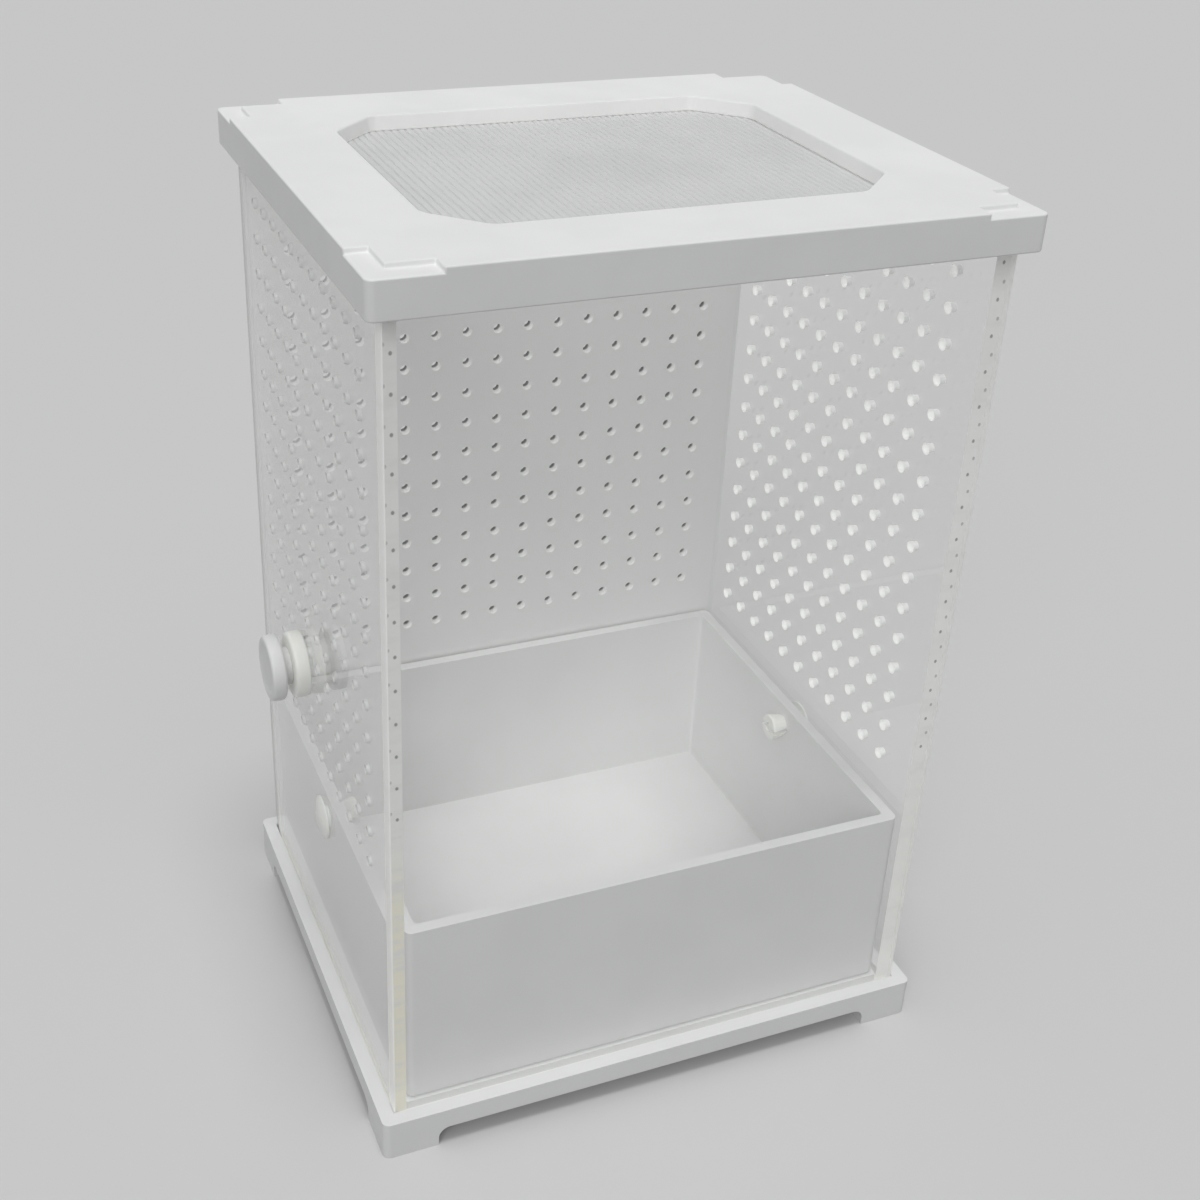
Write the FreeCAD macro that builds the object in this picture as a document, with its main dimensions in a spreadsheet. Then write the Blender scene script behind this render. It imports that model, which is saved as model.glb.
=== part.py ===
import FreeCAD, Part
import os
import Sketcher

# Small stacking enclosure for a reptile: a moulded base and lid, four sheets between them, and a tray.
# Millimetres. X runs left to right, Y runs front to rear, and Z is up from the floor.
# The origin is the middle of the bounding box's bottom, so the plug that sticks out at the left
# moves the box a little to the right of it.

doc = FreeCAD.newDocument("reptile_enclosure")
sheet = doc.addObject("Spreadsheet::Sheet", "sizes")

SIZES = {
    # Box of sheets
    "box_length": 113.0,
    "box_width": 96.0,
    "sheet_thickness": 3.0,
    "sheet_height": 171.0,
    # Base and lid, which stand out beyond the sheets by the same ledge
    "ledge_width": 3.0,
    "outline_corner": 1.5,
    # Base
    "foot_height": 4.2,
    "foot_leg_length": 11.2,
    "foot_leg_width": 3.8,
    "foot_arch_radius": 2.4,
    "base_thickness": 4.6,
    "groove_depth": 1.8,
    "groove_clearance": 0.15,
    # Lid
    "lid_plate": 2.0,
    "seat_step": 1.0,
    "seat_end_clearance": 0.8,
    "seat_side_clearance": 0.2,
    "skirt_depth": 4.7,
    "skirt_clearance": 0.4,
    "window_border_x": 16.7,
    "window_border_y": 17.0,
    "window_chamfer": 9.0,
    "window_softening": 3.5,
    # Ribbed vent sheet under the lid's window
    "vent_overlap_x": 4.2,
    "vent_overlap_y": 4.5,
    "vent_thickness": 0.9,
    "rib_height": 0.35,
    "rib_width": 1.25,
    "rib_pitch": 1.45,
    "rib_margin": 1.5,
    # Air holes in the sheets
    "hole_diameter": 2.0,
    "hole_pitch": 7.0,
    "hole_top_margin": 10.0,
    "side_front_margin": 11.5,
    "side_rear_margin": 8.4,
    "side_above_rim": 9.0,
    "rear_edge_margin": 10.9,
    "rear_above_rim": 10.2,
    # Tray
    "tray_side_gap": 0.5,
    "tray_end_gap": 0.6,
    "tray_height": 42.4,
    "tray_wall": 2.4,
    "tray_floor": 1.5,
    "tray_corner": 1.5,
    "tray_inner_corner": 0.8,
    "tray_foot_fillet": 1.0,
    # Push rivets that hold the tray to the side sheets
    "rivet_below_rim": 5.1,
    "rivet_fit": 0.05,
    "rivet_head_diameter": 9.2,
    "rivet_head_thickness": 1.4,
    "rivet_head_edge": 0.8,
    "rivet_shank_diameter": 4.4,
    "rivet_recess_depth": 0.5,
    "prong_length": 3.5,
    "prong_flare": 0.8,
    "prong_tip_taper": 0.5,
    "prong_tip_length": 0.8,
    "prong_slot": 0.8,
    "pin_diameter": 2.2,
    "pin_head_diameter": 3.8,
    "pin_head_height": 0.4,
    "pin_tip_length": 0.2,
    "pin_tip_diameter": 1.4,
    # Port in the left sheet, its collar and its plug
    "port_from_middle": 11.7,
    "port_above_rim": 25.8,
    "collar_fit": 0.05,
    "collar_sleeve_diameter": 6.0,
    "collar_sleeve_stand": 0.6,
    "collar_flange_diameter": 13.6,
    "collar_flange_thickness": 3.1,
    "collar_flange_edge": 0.7,
    "collar_bore_diameter": 4.4,
    "plug_fit": 0.1,
    "plug_stem_stand": 1.0,
    "plug_stem_edge": 0.5,
    "plug_neck_diameter": 7.7,
    "plug_neck_length": 1.7,
    "plug_disc_diameter": 13.6,
    "plug_disc_thickness": 3.0,
    "plug_disc_edge": 0.7,
    "plug_dish_diameter": 9.0,
    "plug_dish_depth": 0.4,
}

for row, (name, value) in enumerate(SIZES.items(), start=1):
    sheet.set("A%d" % row, name)
    sheet.set("B%d" % row, str(value))
    sheet.setAlias("B%d" % row, name)
doc.recompute()

# Outlines and heights that several pieces share
FOOTPRINT_LENGTH = "(sizes.box_length + 2 * sizes.ledge_width)"
FOOTPRINT_WIDTH = "(sizes.box_width + 2 * sizes.ledge_width)"
INSIDE_LENGTH = "(sizes.box_length - 2 * sizes.sheet_thickness)"
INSIDE_WIDTH = "(sizes.box_width - 2 * sizes.sheet_thickness)"
TRAY_LENGTH = "(%s - 2 * sizes.tray_side_gap)" % INSIDE_LENGTH
TRAY_WIDTH = "(%s - 2 * sizes.tray_end_gap)" % INSIDE_WIDTH
LEDGE = "(sizes.foot_height + sizes.base_thickness)"
GROOVE_FLOOR = "(%s - sizes.groove_depth)" % LEDGE
SHEET_TOP = "(%s + sizes.sheet_height)" % GROOVE_FLOOR
SEAT = "(%s + sizes.lid_plate)" % SHEET_TOP
PLATEAU = "(%s + sizes.seat_step)" % SEAT
SKIRT_FOOT = "(%s - sizes.skirt_depth)" % SHEET_TOP
TRAY_RIM = "(%s + sizes.tray_height)" % LEDGE
RIVET_CENTRE = "(%s - sizes.rivet_below_rim)" % TRAY_RIM
PORT_HEIGHT = "(%s + sizes.port_above_rim)" % TRAY_RIM
RIVET_HOLE = "(sizes.rivet_shank_diameter + 2 * sizes.rivet_fit)"

# How far the plug's outer face is from the box's middle, and the shift that centres the whole object
PLUG_REACH = (
    "(sizes.box_length / 2 + sizes.collar_flange_thickness"
    " + sizes.plug_neck_length + sizes.plug_disc_thickness)"
)
CENTRE_X = "(%s - %s / 2) / 2" % (PLUG_REACH, FOOTPRINT_LENGTH)


def half(alias):
    """Give half of a named size as an expression."""
    return "(sizes.%s / 2)" % alias


def new_body(name, place_x=CENTRE_X, place_y="0 mm", place_z="0 mm", turn="0 deg"):
    """Make one sub-part's body and bind its placement to the sheet."""
    body = doc.addObject("PartDesign::Body", name)
    body.Label = name
    body.setExpression(".Placement.Base.x", place_x)
    body.setExpression(".Placement.Base.y", place_y)
    body.setExpression(".Placement.Base.z", place_z)
    body.Placement.Rotation = FreeCAD.Rotation(FreeCAD.Vector(0, 0, 1), 0)
    body.setExpression(".Placement.Rotation.Angle", turn)
    return body


def new_sketch(body, name, plane, offset="0 mm"):
    """Attach a sketch to one of the body's own origin planes, moved along the plane's normal."""
    sketch = body.newObject("Sketcher::SketchObject", name)
    support = next(item for item in body.Origin.OriginFeatures if item.Role == plane)
    sketch.AttachmentSupport = (support, [""])
    sketch.MapMode = "FlatFace"
    sketch.setExpression(".AttachmentOffset.Base.z", offset)
    return sketch


def bind(sketch, constraint, expression):
    """Add a dimension and bind it to an expression of the sheet."""
    index = sketch.addConstraint(constraint)
    sketch.setExpression("Constraints[%d]" % index, expression)


def place_point(sketch, geometry, position, across, along):
    """Fix one point of a sketch by its two distances from the sketch's origin."""
    if across == "0":
        sketch.addConstraint(Sketcher.Constraint("PointOnObject", geometry, position, -2))
    else:
        bind(sketch, Sketcher.Constraint("DistanceX", -1, 1, geometry, position, 1.0), across)
    if along == "0":
        sketch.addConstraint(Sketcher.Constraint("PointOnObject", geometry, position, -1))
    else:
        bind(sketch, Sketcher.Constraint("DistanceY", -1, 1, geometry, position, 1.0), along)


def polygon(sketch, corners):
    """Draw a closed outline whose corners are pairs of expressions."""
    count = len(corners)
    first = sketch.GeometryCount
    rough = [
        FreeCAD.Vector(10, 0, 0).add(FreeCAD.Rotation(FreeCAD.Vector(0, 0, 1), 360.0 * step / count)
                                     .multVec(FreeCAD.Vector(5, 0, 0)))
        for step in range(count)
    ]
    for step in range(count):
        sketch.addGeometry(Part.LineSegment(rough[step], rough[(step + 1) % count]), False)
    for step in range(count):
        following = first + (step + 1) % count
        sketch.addConstraint(Sketcher.Constraint("Coincident", first + step, 2, following, 1))
    for step, (across, along) in enumerate(corners):
        place_point(sketch, first + step, 1, across, along)


def rectangle(sketch, left, right, low, high):
    """Draw a rectangle between four expressions."""
    polygon(sketch, [(left, low), (right, low), (right, high), (left, high)])


def centred_rectangle(sketch, length, width):
    """Draw a rectangle with its middle on the sketch's origin."""
    rectangle(sketch, "-(%s) / 2" % length, "(%s) / 2" % length, "-(%s) / 2" % width, "(%s) / 2" % width)


def circle(sketch, across, along, diameter):
    """Draw a circle whose centre and diameter are expressions."""
    index = sketch.addGeometry(Part.Circle(FreeCAD.Vector(3, 2, 0), FreeCAD.Vector(0, 0, 1), 1.0), False)
    place_point(sketch, index, 3, across, along)
    bind(sketch, Sketcher.Constraint("Diameter", index, 2.0), diameter)


def pad(body, name, sketch, length):
    """Add material above a sketch."""
    feature = body.newObject("PartDesign::Pad", name)
    feature.Profile = sketch
    feature.setExpression("Length", length)
    doc.recompute()
    return feature


def pocket(body, name, sketch, length, reverse=False):
    """Remove material on one side of a sketch, and check that it did."""
    before = body.Shape.Volume
    feature = body.newObject("PartDesign::Pocket", name)
    feature.Profile = sketch
    feature.Reversed = reverse
    feature.setExpression("Length", length)
    doc.recompute()
    if body.Shape.Volume >= before:
        raise RuntimeError("%s of %s removes nothing" % (name, body.Label))
    return feature


def revolve(body, name, sketch):
    """Turn a profile about its sketch's horizontal axis."""
    feature = body.newObject("PartDesign::Revolution", name)
    feature.Profile = sketch
    feature.ReferenceAxis = (sketch, ["H_Axis"])
    feature.Angle = 360.0
    doc.recompute()
    return feature


def fillet(body, name, radius, chosen):
    """Round the edges of the body's last feature for which chosen is true."""
    base = body.Tip
    names = ["Edge%d" % (index + 1) for index, edge in enumerate(base.Shape.Edges) if chosen(edge)]
    if not names:
        raise RuntimeError("%s of %s finds no edge" % (name, body.Label))
    feature = body.newObject("PartDesign::Fillet", name)
    feature.Base = (base, names)
    feature.setExpression("Radius", radius)
    doc.recompute()
    return feature


def repeat(body, name, feature, directions):
    """Repeat a feature along one or two lines. Each direction is a sketch axis, a pitch and a count."""
    transform = body.newObject("PartDesign::MultiTransform", name)
    transform.Originals = [feature]
    steps = []
    for index, (axis, pitch, count) in enumerate(directions):
        step = doc.addObject("PartDesign::LinearPattern", "%s_%d" % (name, index))
        body.Group = body.Group + [step]
        step.Direction = axis
        step.setExpression("Occurrences", count)
        step.setExpression("Length", "%s * (%s - 1)" % (pitch, count))
        steps.append(step)
    transform.Transformations = steps
    body.Tip = transform
    doc.recompute()
    return transform


def hole_rows(first_row):
    """Give how many rows of air holes fit between a first row's height and the margin at the top."""
    return "(floor((%s - %s - sizes.hole_top_margin) / sizes.hole_pitch) + 1)" % (SHEET_TOP, first_row)


def is_straight(edge):
    """Say whether an edge is a straight line."""
    return edge.Curve.TypeId == "Part::GeomLine"


def is_upright(edge):
    """Say whether an edge is a straight line along Z."""
    return is_straight(edge) and abs(abs(edge.Curve.Direction.z) - 1.0) < 1e-6


def near(value, wanted):
    """Say whether two lengths are the same to a hundredth of a millimetre."""
    return abs(value - wanted) < 0.01


def is_rim(edge, diameter):
    """Say whether an edge is a circle of a named diameter."""
    return edge.Curve.TypeId == "Part::GeomCircle" and near(edge.Curve.Radius, SIZES[diameter] / 2)


# Base: one plate on a rim that is cut into four L-shaped feet, with a groove for the sheets
base = new_body("base_frame")
outline = new_sketch(base, "base_outline", "XY_Plane")
centred_rectangle(outline, FOOTPRINT_LENGTH, FOOTPRINT_WIDTH)
pad(base, "base_block", outline, LEDGE)
fillet(base, "base_corners", "sizes.outline_corner", is_upright)
under = new_sketch(base, "base_under", "XY_Plane")
centred_rectangle(
    under,
    "(%s - 2 * sizes.foot_leg_width)" % FOOTPRINT_LENGTH,
    "(%s - 2 * sizes.foot_leg_width)" % FOOTPRINT_WIDTH,
)
pocket(base, "base_hollow", under, "sizes.foot_height", reverse=True)
for arch_name, plane, across, through in (
    ("arch_front", "XZ_Plane", FOOTPRINT_LENGTH, FOOTPRINT_WIDTH),
    ("arch_side", "YZ_Plane", FOOTPRINT_WIDTH, FOOTPRINT_LENGTH),
):
    arch = new_sketch(base, "%s_outline" % arch_name, plane, "%s / 2" % through)
    rectangle(
        arch,
        "-%s / 2 + sizes.foot_leg_length" % across,
        "%s / 2 - sizes.foot_leg_length" % across,
        "-sizes.foot_height",
        "sizes.foot_height",
    )
    pocket(base, arch_name, arch, through)


def is_arch_corner(edge):
    """Say whether an edge is where a foot's end meets the plate's underside."""
    if not is_straight(edge) or not near(edge.CenterOfMass.z, SIZES["foot_height"]):
        return False
    end_x = SIZES["box_length"] / 2 + SIZES["ledge_width"] - SIZES["foot_leg_length"]
    end_y = SIZES["box_width"] / 2 + SIZES["ledge_width"] - SIZES["foot_leg_length"]
    if not near(edge.Length, SIZES["foot_leg_width"]):
        return False
    centre = edge.CenterOfMass
    return near(abs(centre.x), end_x) or near(abs(centre.y), end_y)


fillet(base, "base_arch_rounds", "sizes.foot_arch_radius", is_arch_corner)
groove = new_sketch(base, "base_groove_outline", "XY_Plane", LEDGE)
centred_rectangle(
    groove,
    "sizes.box_length + 2 * sizes.groove_clearance",
    "sizes.box_width + 2 * sizes.groove_clearance",
)
centred_rectangle(
    groove,
    "(%s - 2 * sizes.groove_clearance)" % INSIDE_LENGTH,
    "(%s - 2 * sizes.groove_clearance)" % INSIDE_WIDTH,
)
pocket(base, "base_groove", groove, "sizes.groove_depth")

# Front sheet, clear and plain. It covers the front edges of the two side sheets.
front = new_body("front_panel")
front_face = new_sketch(front, "front_outline", "XZ_Plane", half("box_width"))
rectangle(front_face, "-sizes.box_length / 2", half("box_length"), GROOVE_FLOOR, SHEET_TOP)
front_pad = pad(front, "front_sheet", front_face, "sizes.sheet_thickness")
front_pad.Reversed = True

# Rear sheet, white, with its own grid of air holes. It covers the rear edges of the side sheets.
rear = new_body("rear_panel")
rear_face = new_sketch(rear, "rear_outline", "XZ_Plane", "-sizes.box_width / 2")
rectangle(rear_face, "-sizes.box_length / 2", half("box_length"), GROOVE_FLOOR, SHEET_TOP)
pad(rear, "rear_sheet", rear_face, "sizes.sheet_thickness")
rear_hole = new_sketch(rear, "rear_hole_outline", "XZ_Plane", "-sizes.box_width / 2")
REAR_COLUMNS = "(floor((sizes.box_length - 2 * sizes.rear_edge_margin) / sizes.hole_pitch) + 1)"
REAR_FIRST_ROW = "(%s + sizes.rear_above_rim)" % TRAY_RIM
circle(rear_hole, "-sizes.hole_pitch * (%s - 1) / 2" % REAR_COLUMNS, REAR_FIRST_ROW, "sizes.hole_diameter")
rear_drill = pocket(rear, "rear_hole", rear_hole, "sizes.sheet_thickness", reverse=True)
repeat(
    rear,
    "rear_holes",
    rear_drill,
    [
        ((rear_hole, ["H_Axis"]), "sizes.hole_pitch", REAR_COLUMNS),
        ((rear_hole, ["V_Axis"]), "sizes.hole_pitch", hole_rows(REAR_FIRST_ROW)),
    ],
)

# Side sheets, clear, with the same grid of air holes and a hole for a push rivet. The left one also
# has the port's hole.
SIDE_FIRST_COLUMN = "(-%s / 2 + sizes.side_front_margin)" % INSIDE_WIDTH
SIDE_FIRST_ROW = "(%s + sizes.side_above_rim)" % TRAY_RIM
SIDE_COLUMNS = (
    "(floor((%s - sizes.side_front_margin - sizes.side_rear_margin) / sizes.hole_pitch) + 1)"
    % INSIDE_WIDTH
)
side_faces = (
    ("left", "-sizes.box_length / 2"),
    ("right", "sizes.box_length / 2 - sizes.sheet_thickness"),
)
for side, outer in side_faces:
    panel = new_body("%s_panel" % side)
    face = new_sketch(panel, "%s_outline" % side, "YZ_Plane", outer)
    rectangle(face, "-%s / 2" % INSIDE_WIDTH, "%s / 2" % INSIDE_WIDTH, GROOVE_FLOOR, SHEET_TOP)
    pad(panel, "%s_sheet" % side, face, "sizes.sheet_thickness")
    if side == "left":
        port = new_sketch(panel, "port_outline", "YZ_Plane", outer)
        port_hole = "sizes.collar_sleeve_diameter + 2 * sizes.collar_fit"
        circle(port, "sizes.port_from_middle", PORT_HEIGHT, port_hole)
        pocket(panel, "port_hole", port, "sizes.sheet_thickness", reverse=True)
    seat = new_sketch(panel, "%s_rivet_outline" % side, "YZ_Plane", outer)
    circle(seat, "0", RIVET_CENTRE, RIVET_HOLE)
    pocket(panel, "%s_rivet_hole" % side, seat, "sizes.sheet_thickness", reverse=True)
    hole = new_sketch(panel, "%s_hole_outline" % side, "YZ_Plane", outer)
    circle(hole, SIDE_FIRST_COLUMN, SIDE_FIRST_ROW, "sizes.hole_diameter")
    drill = pocket(panel, "%s_hole" % side, hole, "sizes.sheet_thickness", reverse=True)
    repeat(
        panel,
        "%s_holes" % side,
        drill,
        [
            ((hole, ["H_Axis"]), "sizes.hole_pitch", SIDE_COLUMNS),
            ((hole, ["V_Axis"]), "sizes.hole_pitch", hole_rows(SIDE_FIRST_ROW)),
        ],
    )

# Lid: a plate with a skirt round the sheets' tops, a raised middle, four seats for the feet of a box
# stacked above, and a large window with cut corners
lid = new_body("lid_frame")
lid_outline = new_sketch(lid, "lid_outline", "XY_Plane", SKIRT_FOOT)
centred_rectangle(lid_outline, FOOTPRINT_LENGTH, FOOTPRINT_WIDTH)
pad(lid, "lid_block", lid_outline, "sizes.skirt_depth + sizes.lid_plate + sizes.seat_step")
fillet(lid, "lid_corners", "sizes.outline_corner", is_upright)
lid_under = new_sketch(lid, "lid_under", "XY_Plane", SKIRT_FOOT)
centred_rectangle(
    lid_under,
    "sizes.box_length + 2 * sizes.skirt_clearance",
    "sizes.box_width + 2 * sizes.skirt_clearance",
)
pocket(lid, "lid_hollow", lid_under, "sizes.skirt_depth", reverse=True)
SEAT_LENGTH = "(sizes.foot_leg_length + sizes.seat_end_clearance)"
SEAT_WIDTH = "(sizes.foot_leg_width + sizes.seat_side_clearance)"
seat_sizes = (
    ("seats_along_x", SEAT_LENGTH, SEAT_WIDTH),
    ("seats_along_y", SEAT_WIDTH, SEAT_LENGTH),
)
for seat_name, reach_x, reach_y in seat_sizes:
    seat = new_sketch(lid, seat_name, "XY_Plane", PLATEAU)
    for sign_x in ("", "-"):
        for sign_y in ("", "-"):
            rectangle(
                seat,
                "%s%s / 2" % (sign_x, FOOTPRINT_LENGTH),
                "%s(%s / 2 - %s)" % (sign_x, FOOTPRINT_LENGTH, reach_x),
                "%s%s / 2" % (sign_y, FOOTPRINT_WIDTH),
                "%s(%s / 2 - %s)" % (sign_y, FOOTPRINT_WIDTH, reach_y),
            )
    pocket(lid, "cut_%s" % seat_name, seat, "sizes.seat_step")
window = new_sketch(lid, "window_outline", "XY_Plane", PLATEAU)
WINDOW_HALF_LENGTH = "(%s / 2 - sizes.window_border_x)" % FOOTPRINT_LENGTH
WINDOW_HALF_WIDTH = "(%s / 2 - sizes.window_border_y)" % FOOTPRINT_WIDTH
window_corners = []
for sign_x, sign_y, order in (("", "", 1), ("-", "", -1), ("-", "-", 1), ("", "-", -1)):
    pair = [
        (sign_x + WINDOW_HALF_LENGTH, "%s(%s - sizes.window_chamfer)" % (sign_y, WINDOW_HALF_WIDTH)),
        ("%s(%s - sizes.window_chamfer)" % (sign_x, WINDOW_HALF_LENGTH), sign_y + WINDOW_HALF_WIDTH),
    ]
    window_corners += pair[::order]
polygon(window, window_corners)
pocket(lid, "lid_window", window, "sizes.lid_plate + sizes.seat_step")


def is_window_corner(edge):
    """Say whether an edge is one of the window's eight upright corners."""
    half_length = SIZES["box_length"] / 2 + SIZES["ledge_width"] - SIZES["window_border_x"]
    half_width = SIZES["box_width"] / 2 + SIZES["ledge_width"] - SIZES["window_border_y"]
    centre = edge.CenterOfMass
    inside_x = abs(centre.x) < half_length or near(abs(centre.x), half_length)
    inside_y = abs(centre.y) < half_width or near(abs(centre.y), half_width)
    return is_upright(edge) and inside_x and inside_y


fillet(lid, "window_rounds", "sizes.window_softening", is_window_corner)

# Vent sheet: a thin sheet with ribs on top, fixed under the lid's plate
vent = new_body("vent_sheet")
vent_outline = new_sketch(vent, "vent_outline", "XY_Plane", "%s - sizes.rib_height" % SHEET_TOP)
VENT_LENGTH = "(2 * %s + 2 * sizes.vent_overlap_x)" % WINDOW_HALF_LENGTH
VENT_WIDTH = "(2 * %s + 2 * sizes.vent_overlap_y)" % WINDOW_HALF_WIDTH
RIB_COUNT = "(floor((%s - 2 * sizes.rib_margin) / sizes.rib_pitch) + 1)" % VENT_LENGTH
centred_rectangle(vent_outline, VENT_LENGTH, VENT_WIDTH)
vent_pad = pad(vent, "vent_plate", vent_outline, "sizes.vent_thickness")
vent_pad.Reversed = True
rib_outline = new_sketch(vent, "rib_outline", "XY_Plane", "%s - sizes.rib_height" % SHEET_TOP)
FIRST_RIB = "-sizes.rib_pitch * (%s - 1) / 2" % RIB_COUNT
rectangle(
    rib_outline,
    "%s - sizes.rib_width / 2" % FIRST_RIB,
    "%s + sizes.rib_width / 2" % FIRST_RIB,
    "-%s / 2" % VENT_WIDTH,
    "%s / 2" % VENT_WIDTH,
)
rib = pad(vent, "rib", rib_outline, "sizes.rib_height")
repeat(vent, "ribs", rib, [((rib_outline, ["H_Axis"]), "sizes.rib_pitch", RIB_COUNT)])

# Tray: an open box that stands on the base, with a hole for a push rivet in each side wall
tray = new_body("substrate_tray", place_z=LEDGE)
tray_outline = new_sketch(tray, "tray_outline", "XY_Plane")
centred_rectangle(tray_outline, TRAY_LENGTH, TRAY_WIDTH)
pad(tray, "tray_block", tray_outline, "sizes.tray_height")
fillet(tray, "tray_corners", "sizes.tray_corner", is_upright)
tray_inside = new_sketch(tray, "tray_inside", "XY_Plane", "sizes.tray_height")
centred_rectangle(
    tray_inside,
    "(%s - 2 * sizes.tray_wall)" % TRAY_LENGTH,
    "(%s - 2 * sizes.tray_wall)" % TRAY_WIDTH,
)
pocket(tray, "tray_hollow", tray_inside, "sizes.tray_height - sizes.tray_floor")


def is_tray_inner_corner(edge):
    """Say whether an edge is one of the tray's four inner upright corners."""
    wall_outside = SIZES["box_length"] / 2 - SIZES["sheet_thickness"] - SIZES["tray_side_gap"]
    return is_upright(edge) and near(abs(edge.CenterOfMass.x), wall_outside - SIZES["tray_wall"])


fillet(tray, "tray_inner_corners", "sizes.tray_inner_corner", is_tray_inner_corner)


def is_tray_foot(edge):
    """Say whether an edge runs round the tray's outer foot."""
    return near(edge.BoundBox.ZMin, 0.0) and near(edge.BoundBox.ZMax, 0.0)


fillet(tray, "tray_foot", "sizes.tray_foot_fillet", is_tray_foot)
rivet_seat = new_sketch(tray, "rivet_hole_outline", "YZ_Plane", "%s / 2" % TRAY_LENGTH)
circle(rivet_seat, "0", "sizes.tray_height - sizes.rivet_below_rim", RIVET_HOLE)
pocket(tray, "rivet_hole", rivet_seat, TRAY_LENGTH)

# Push rivets: a head on the side sheet's outer face, a shank through the sheet and the tray's wall, and
# two prongs inside the tray that a pin spreads. Each is drawn along X with the sheet's outer face at
# zero and the prongs on the positive side.
PRONG_START = "(sizes.sheet_thickness + sizes.tray_side_gap + sizes.tray_wall)"
PRONG_END = "(%s + sizes.prong_length)" % PRONG_START
HEAD_FACE = "(-sizes.rivet_head_thickness)"
RECESS_FLOOR = "(%s + sizes.rivet_recess_depth)" % HEAD_FACE
BORE_RADIUS = "(sizes.pin_diameter / 2 + sizes.rivet_fit)"
RECESS_RADIUS = "(sizes.pin_head_diameter / 2 + sizes.rivet_fit)"
FLARE_RADIUS = "(sizes.rivet_shank_diameter / 2 + sizes.prong_flare)"
for side, sign, turn in (("left", "-", "0 deg"), ("right", "", "180 deg")):
    place = "%s + %ssizes.box_length / 2" % (CENTRE_X, sign)
    rivet = new_body("rivet_%s" % side, place_x=place, place_z=RIVET_CENTRE, turn=turn)
    profile = new_sketch(rivet, "rivet_profile_%s" % side, "XY_Plane")
    polygon(
        profile,
        [
            (RECESS_FLOOR, BORE_RADIUS),
            (PRONG_END, BORE_RADIUS),
            (PRONG_END, "%s - sizes.prong_tip_taper" % FLARE_RADIUS),
            ("%s - sizes.prong_tip_length" % PRONG_END, FLARE_RADIUS),
            (PRONG_START, half("rivet_shank_diameter")),
            ("0", half("rivet_shank_diameter")),
            ("0", half("rivet_head_diameter")),
            ("%s + sizes.rivet_head_edge" % HEAD_FACE, half("rivet_head_diameter")),
            (HEAD_FACE, "%s - sizes.rivet_head_edge" % half("rivet_head_diameter")),
            (HEAD_FACE, RECESS_RADIUS),
            (RECESS_FLOOR, RECESS_RADIUS),
        ],
    )
    revolve(rivet, "rivet_turn_%s" % side, profile)
    slot = new_sketch(rivet, "prong_slot_%s" % side, "YZ_Plane", PRONG_END)
    centred_rectangle(slot, "4 * %s" % FLARE_RADIUS, "sizes.prong_slot")
    pocket(rivet, "prong_cut_%s" % side, slot, "sizes.prong_length")
    pin = new_body("rivet_pin_%s" % side, place_x=place, place_z=RIVET_CENTRE, turn=turn)
    pin_profile = new_sketch(pin, "pin_profile_%s" % side, "XY_Plane")
    polygon(
        pin_profile,
        [
            ("%s - sizes.pin_head_height" % RECESS_FLOOR, "0"),
            ("%s + sizes.pin_tip_length" % PRONG_END, "0"),
            ("%s + sizes.pin_tip_length" % PRONG_END, half("pin_tip_diameter")),
            (PRONG_END, half("pin_diameter")),
            (RECESS_FLOOR, half("pin_diameter")),
            (RECESS_FLOOR, half("pin_head_diameter")),
            ("%s - sizes.pin_head_height" % RECESS_FLOOR, half("pin_head_diameter")),
        ],
    )
    revolve(pin, "pin_turn_%s" % side, pin_profile)

# Port collar and plug: drawn along X with the left sheet's outer face at zero and outside negative
PORT_X = "%s - sizes.box_length / 2" % CENTRE_X
SLEEVE_END = "(sizes.sheet_thickness + sizes.collar_sleeve_stand)"
collar = new_body("port_collar", place_x=PORT_X, place_y="sizes.port_from_middle", place_z=PORT_HEIGHT)
collar_profile = new_sketch(collar, "collar_profile", "XY_Plane")
polygon(
    collar_profile,
    [
        ("-sizes.collar_flange_thickness", half("collar_bore_diameter")),
        (SLEEVE_END, half("collar_bore_diameter")),
        (SLEEVE_END, half("collar_sleeve_diameter")),
        ("0", half("collar_sleeve_diameter")),
        ("0", half("collar_flange_diameter")),
        ("-sizes.collar_flange_thickness", half("collar_flange_diameter")),
    ],
)
revolve(collar, "collar_turn", collar_profile)


def is_flange_rim(edge):
    """Say whether an edge is one of the two outer rims of the collar's flange."""
    return is_rim(edge, "collar_flange_diameter")


fillet(collar, "collar_rims", "sizes.collar_flange_edge", is_flange_rim)

plug = new_body("port_plug", place_x=PORT_X, place_y="sizes.port_from_middle", place_z=PORT_HEIGHT)
DISC_BACK = "(-sizes.collar_flange_thickness - sizes.plug_neck_length)"
DISC_FACE = "(%s - sizes.plug_disc_thickness)" % DISC_BACK
STEM_RADIUS = "(sizes.collar_bore_diameter / 2 - sizes.plug_fit)"
STEM_END = "(sizes.sheet_thickness + sizes.plug_stem_stand)"
plug_profile = new_sketch(plug, "plug_profile", "XY_Plane")
polygon(
    plug_profile,
    [
        ("%s + sizes.plug_dish_depth" % DISC_FACE, "0"),
        (STEM_END, "0"),
        (STEM_END, "%s - sizes.plug_stem_edge" % STEM_RADIUS),
        ("%s - sizes.plug_stem_edge" % STEM_END, STEM_RADIUS),
        ("-sizes.collar_flange_thickness", STEM_RADIUS),
        ("-sizes.collar_flange_thickness", half("plug_neck_diameter")),
        (DISC_BACK, half("plug_neck_diameter")),
        (DISC_BACK, half("plug_disc_diameter")),
        (DISC_FACE, half("plug_disc_diameter")),
        (DISC_FACE, half("plug_dish_diameter")),
    ],
)
revolve(plug, "plug_turn", plug_profile)


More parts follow.
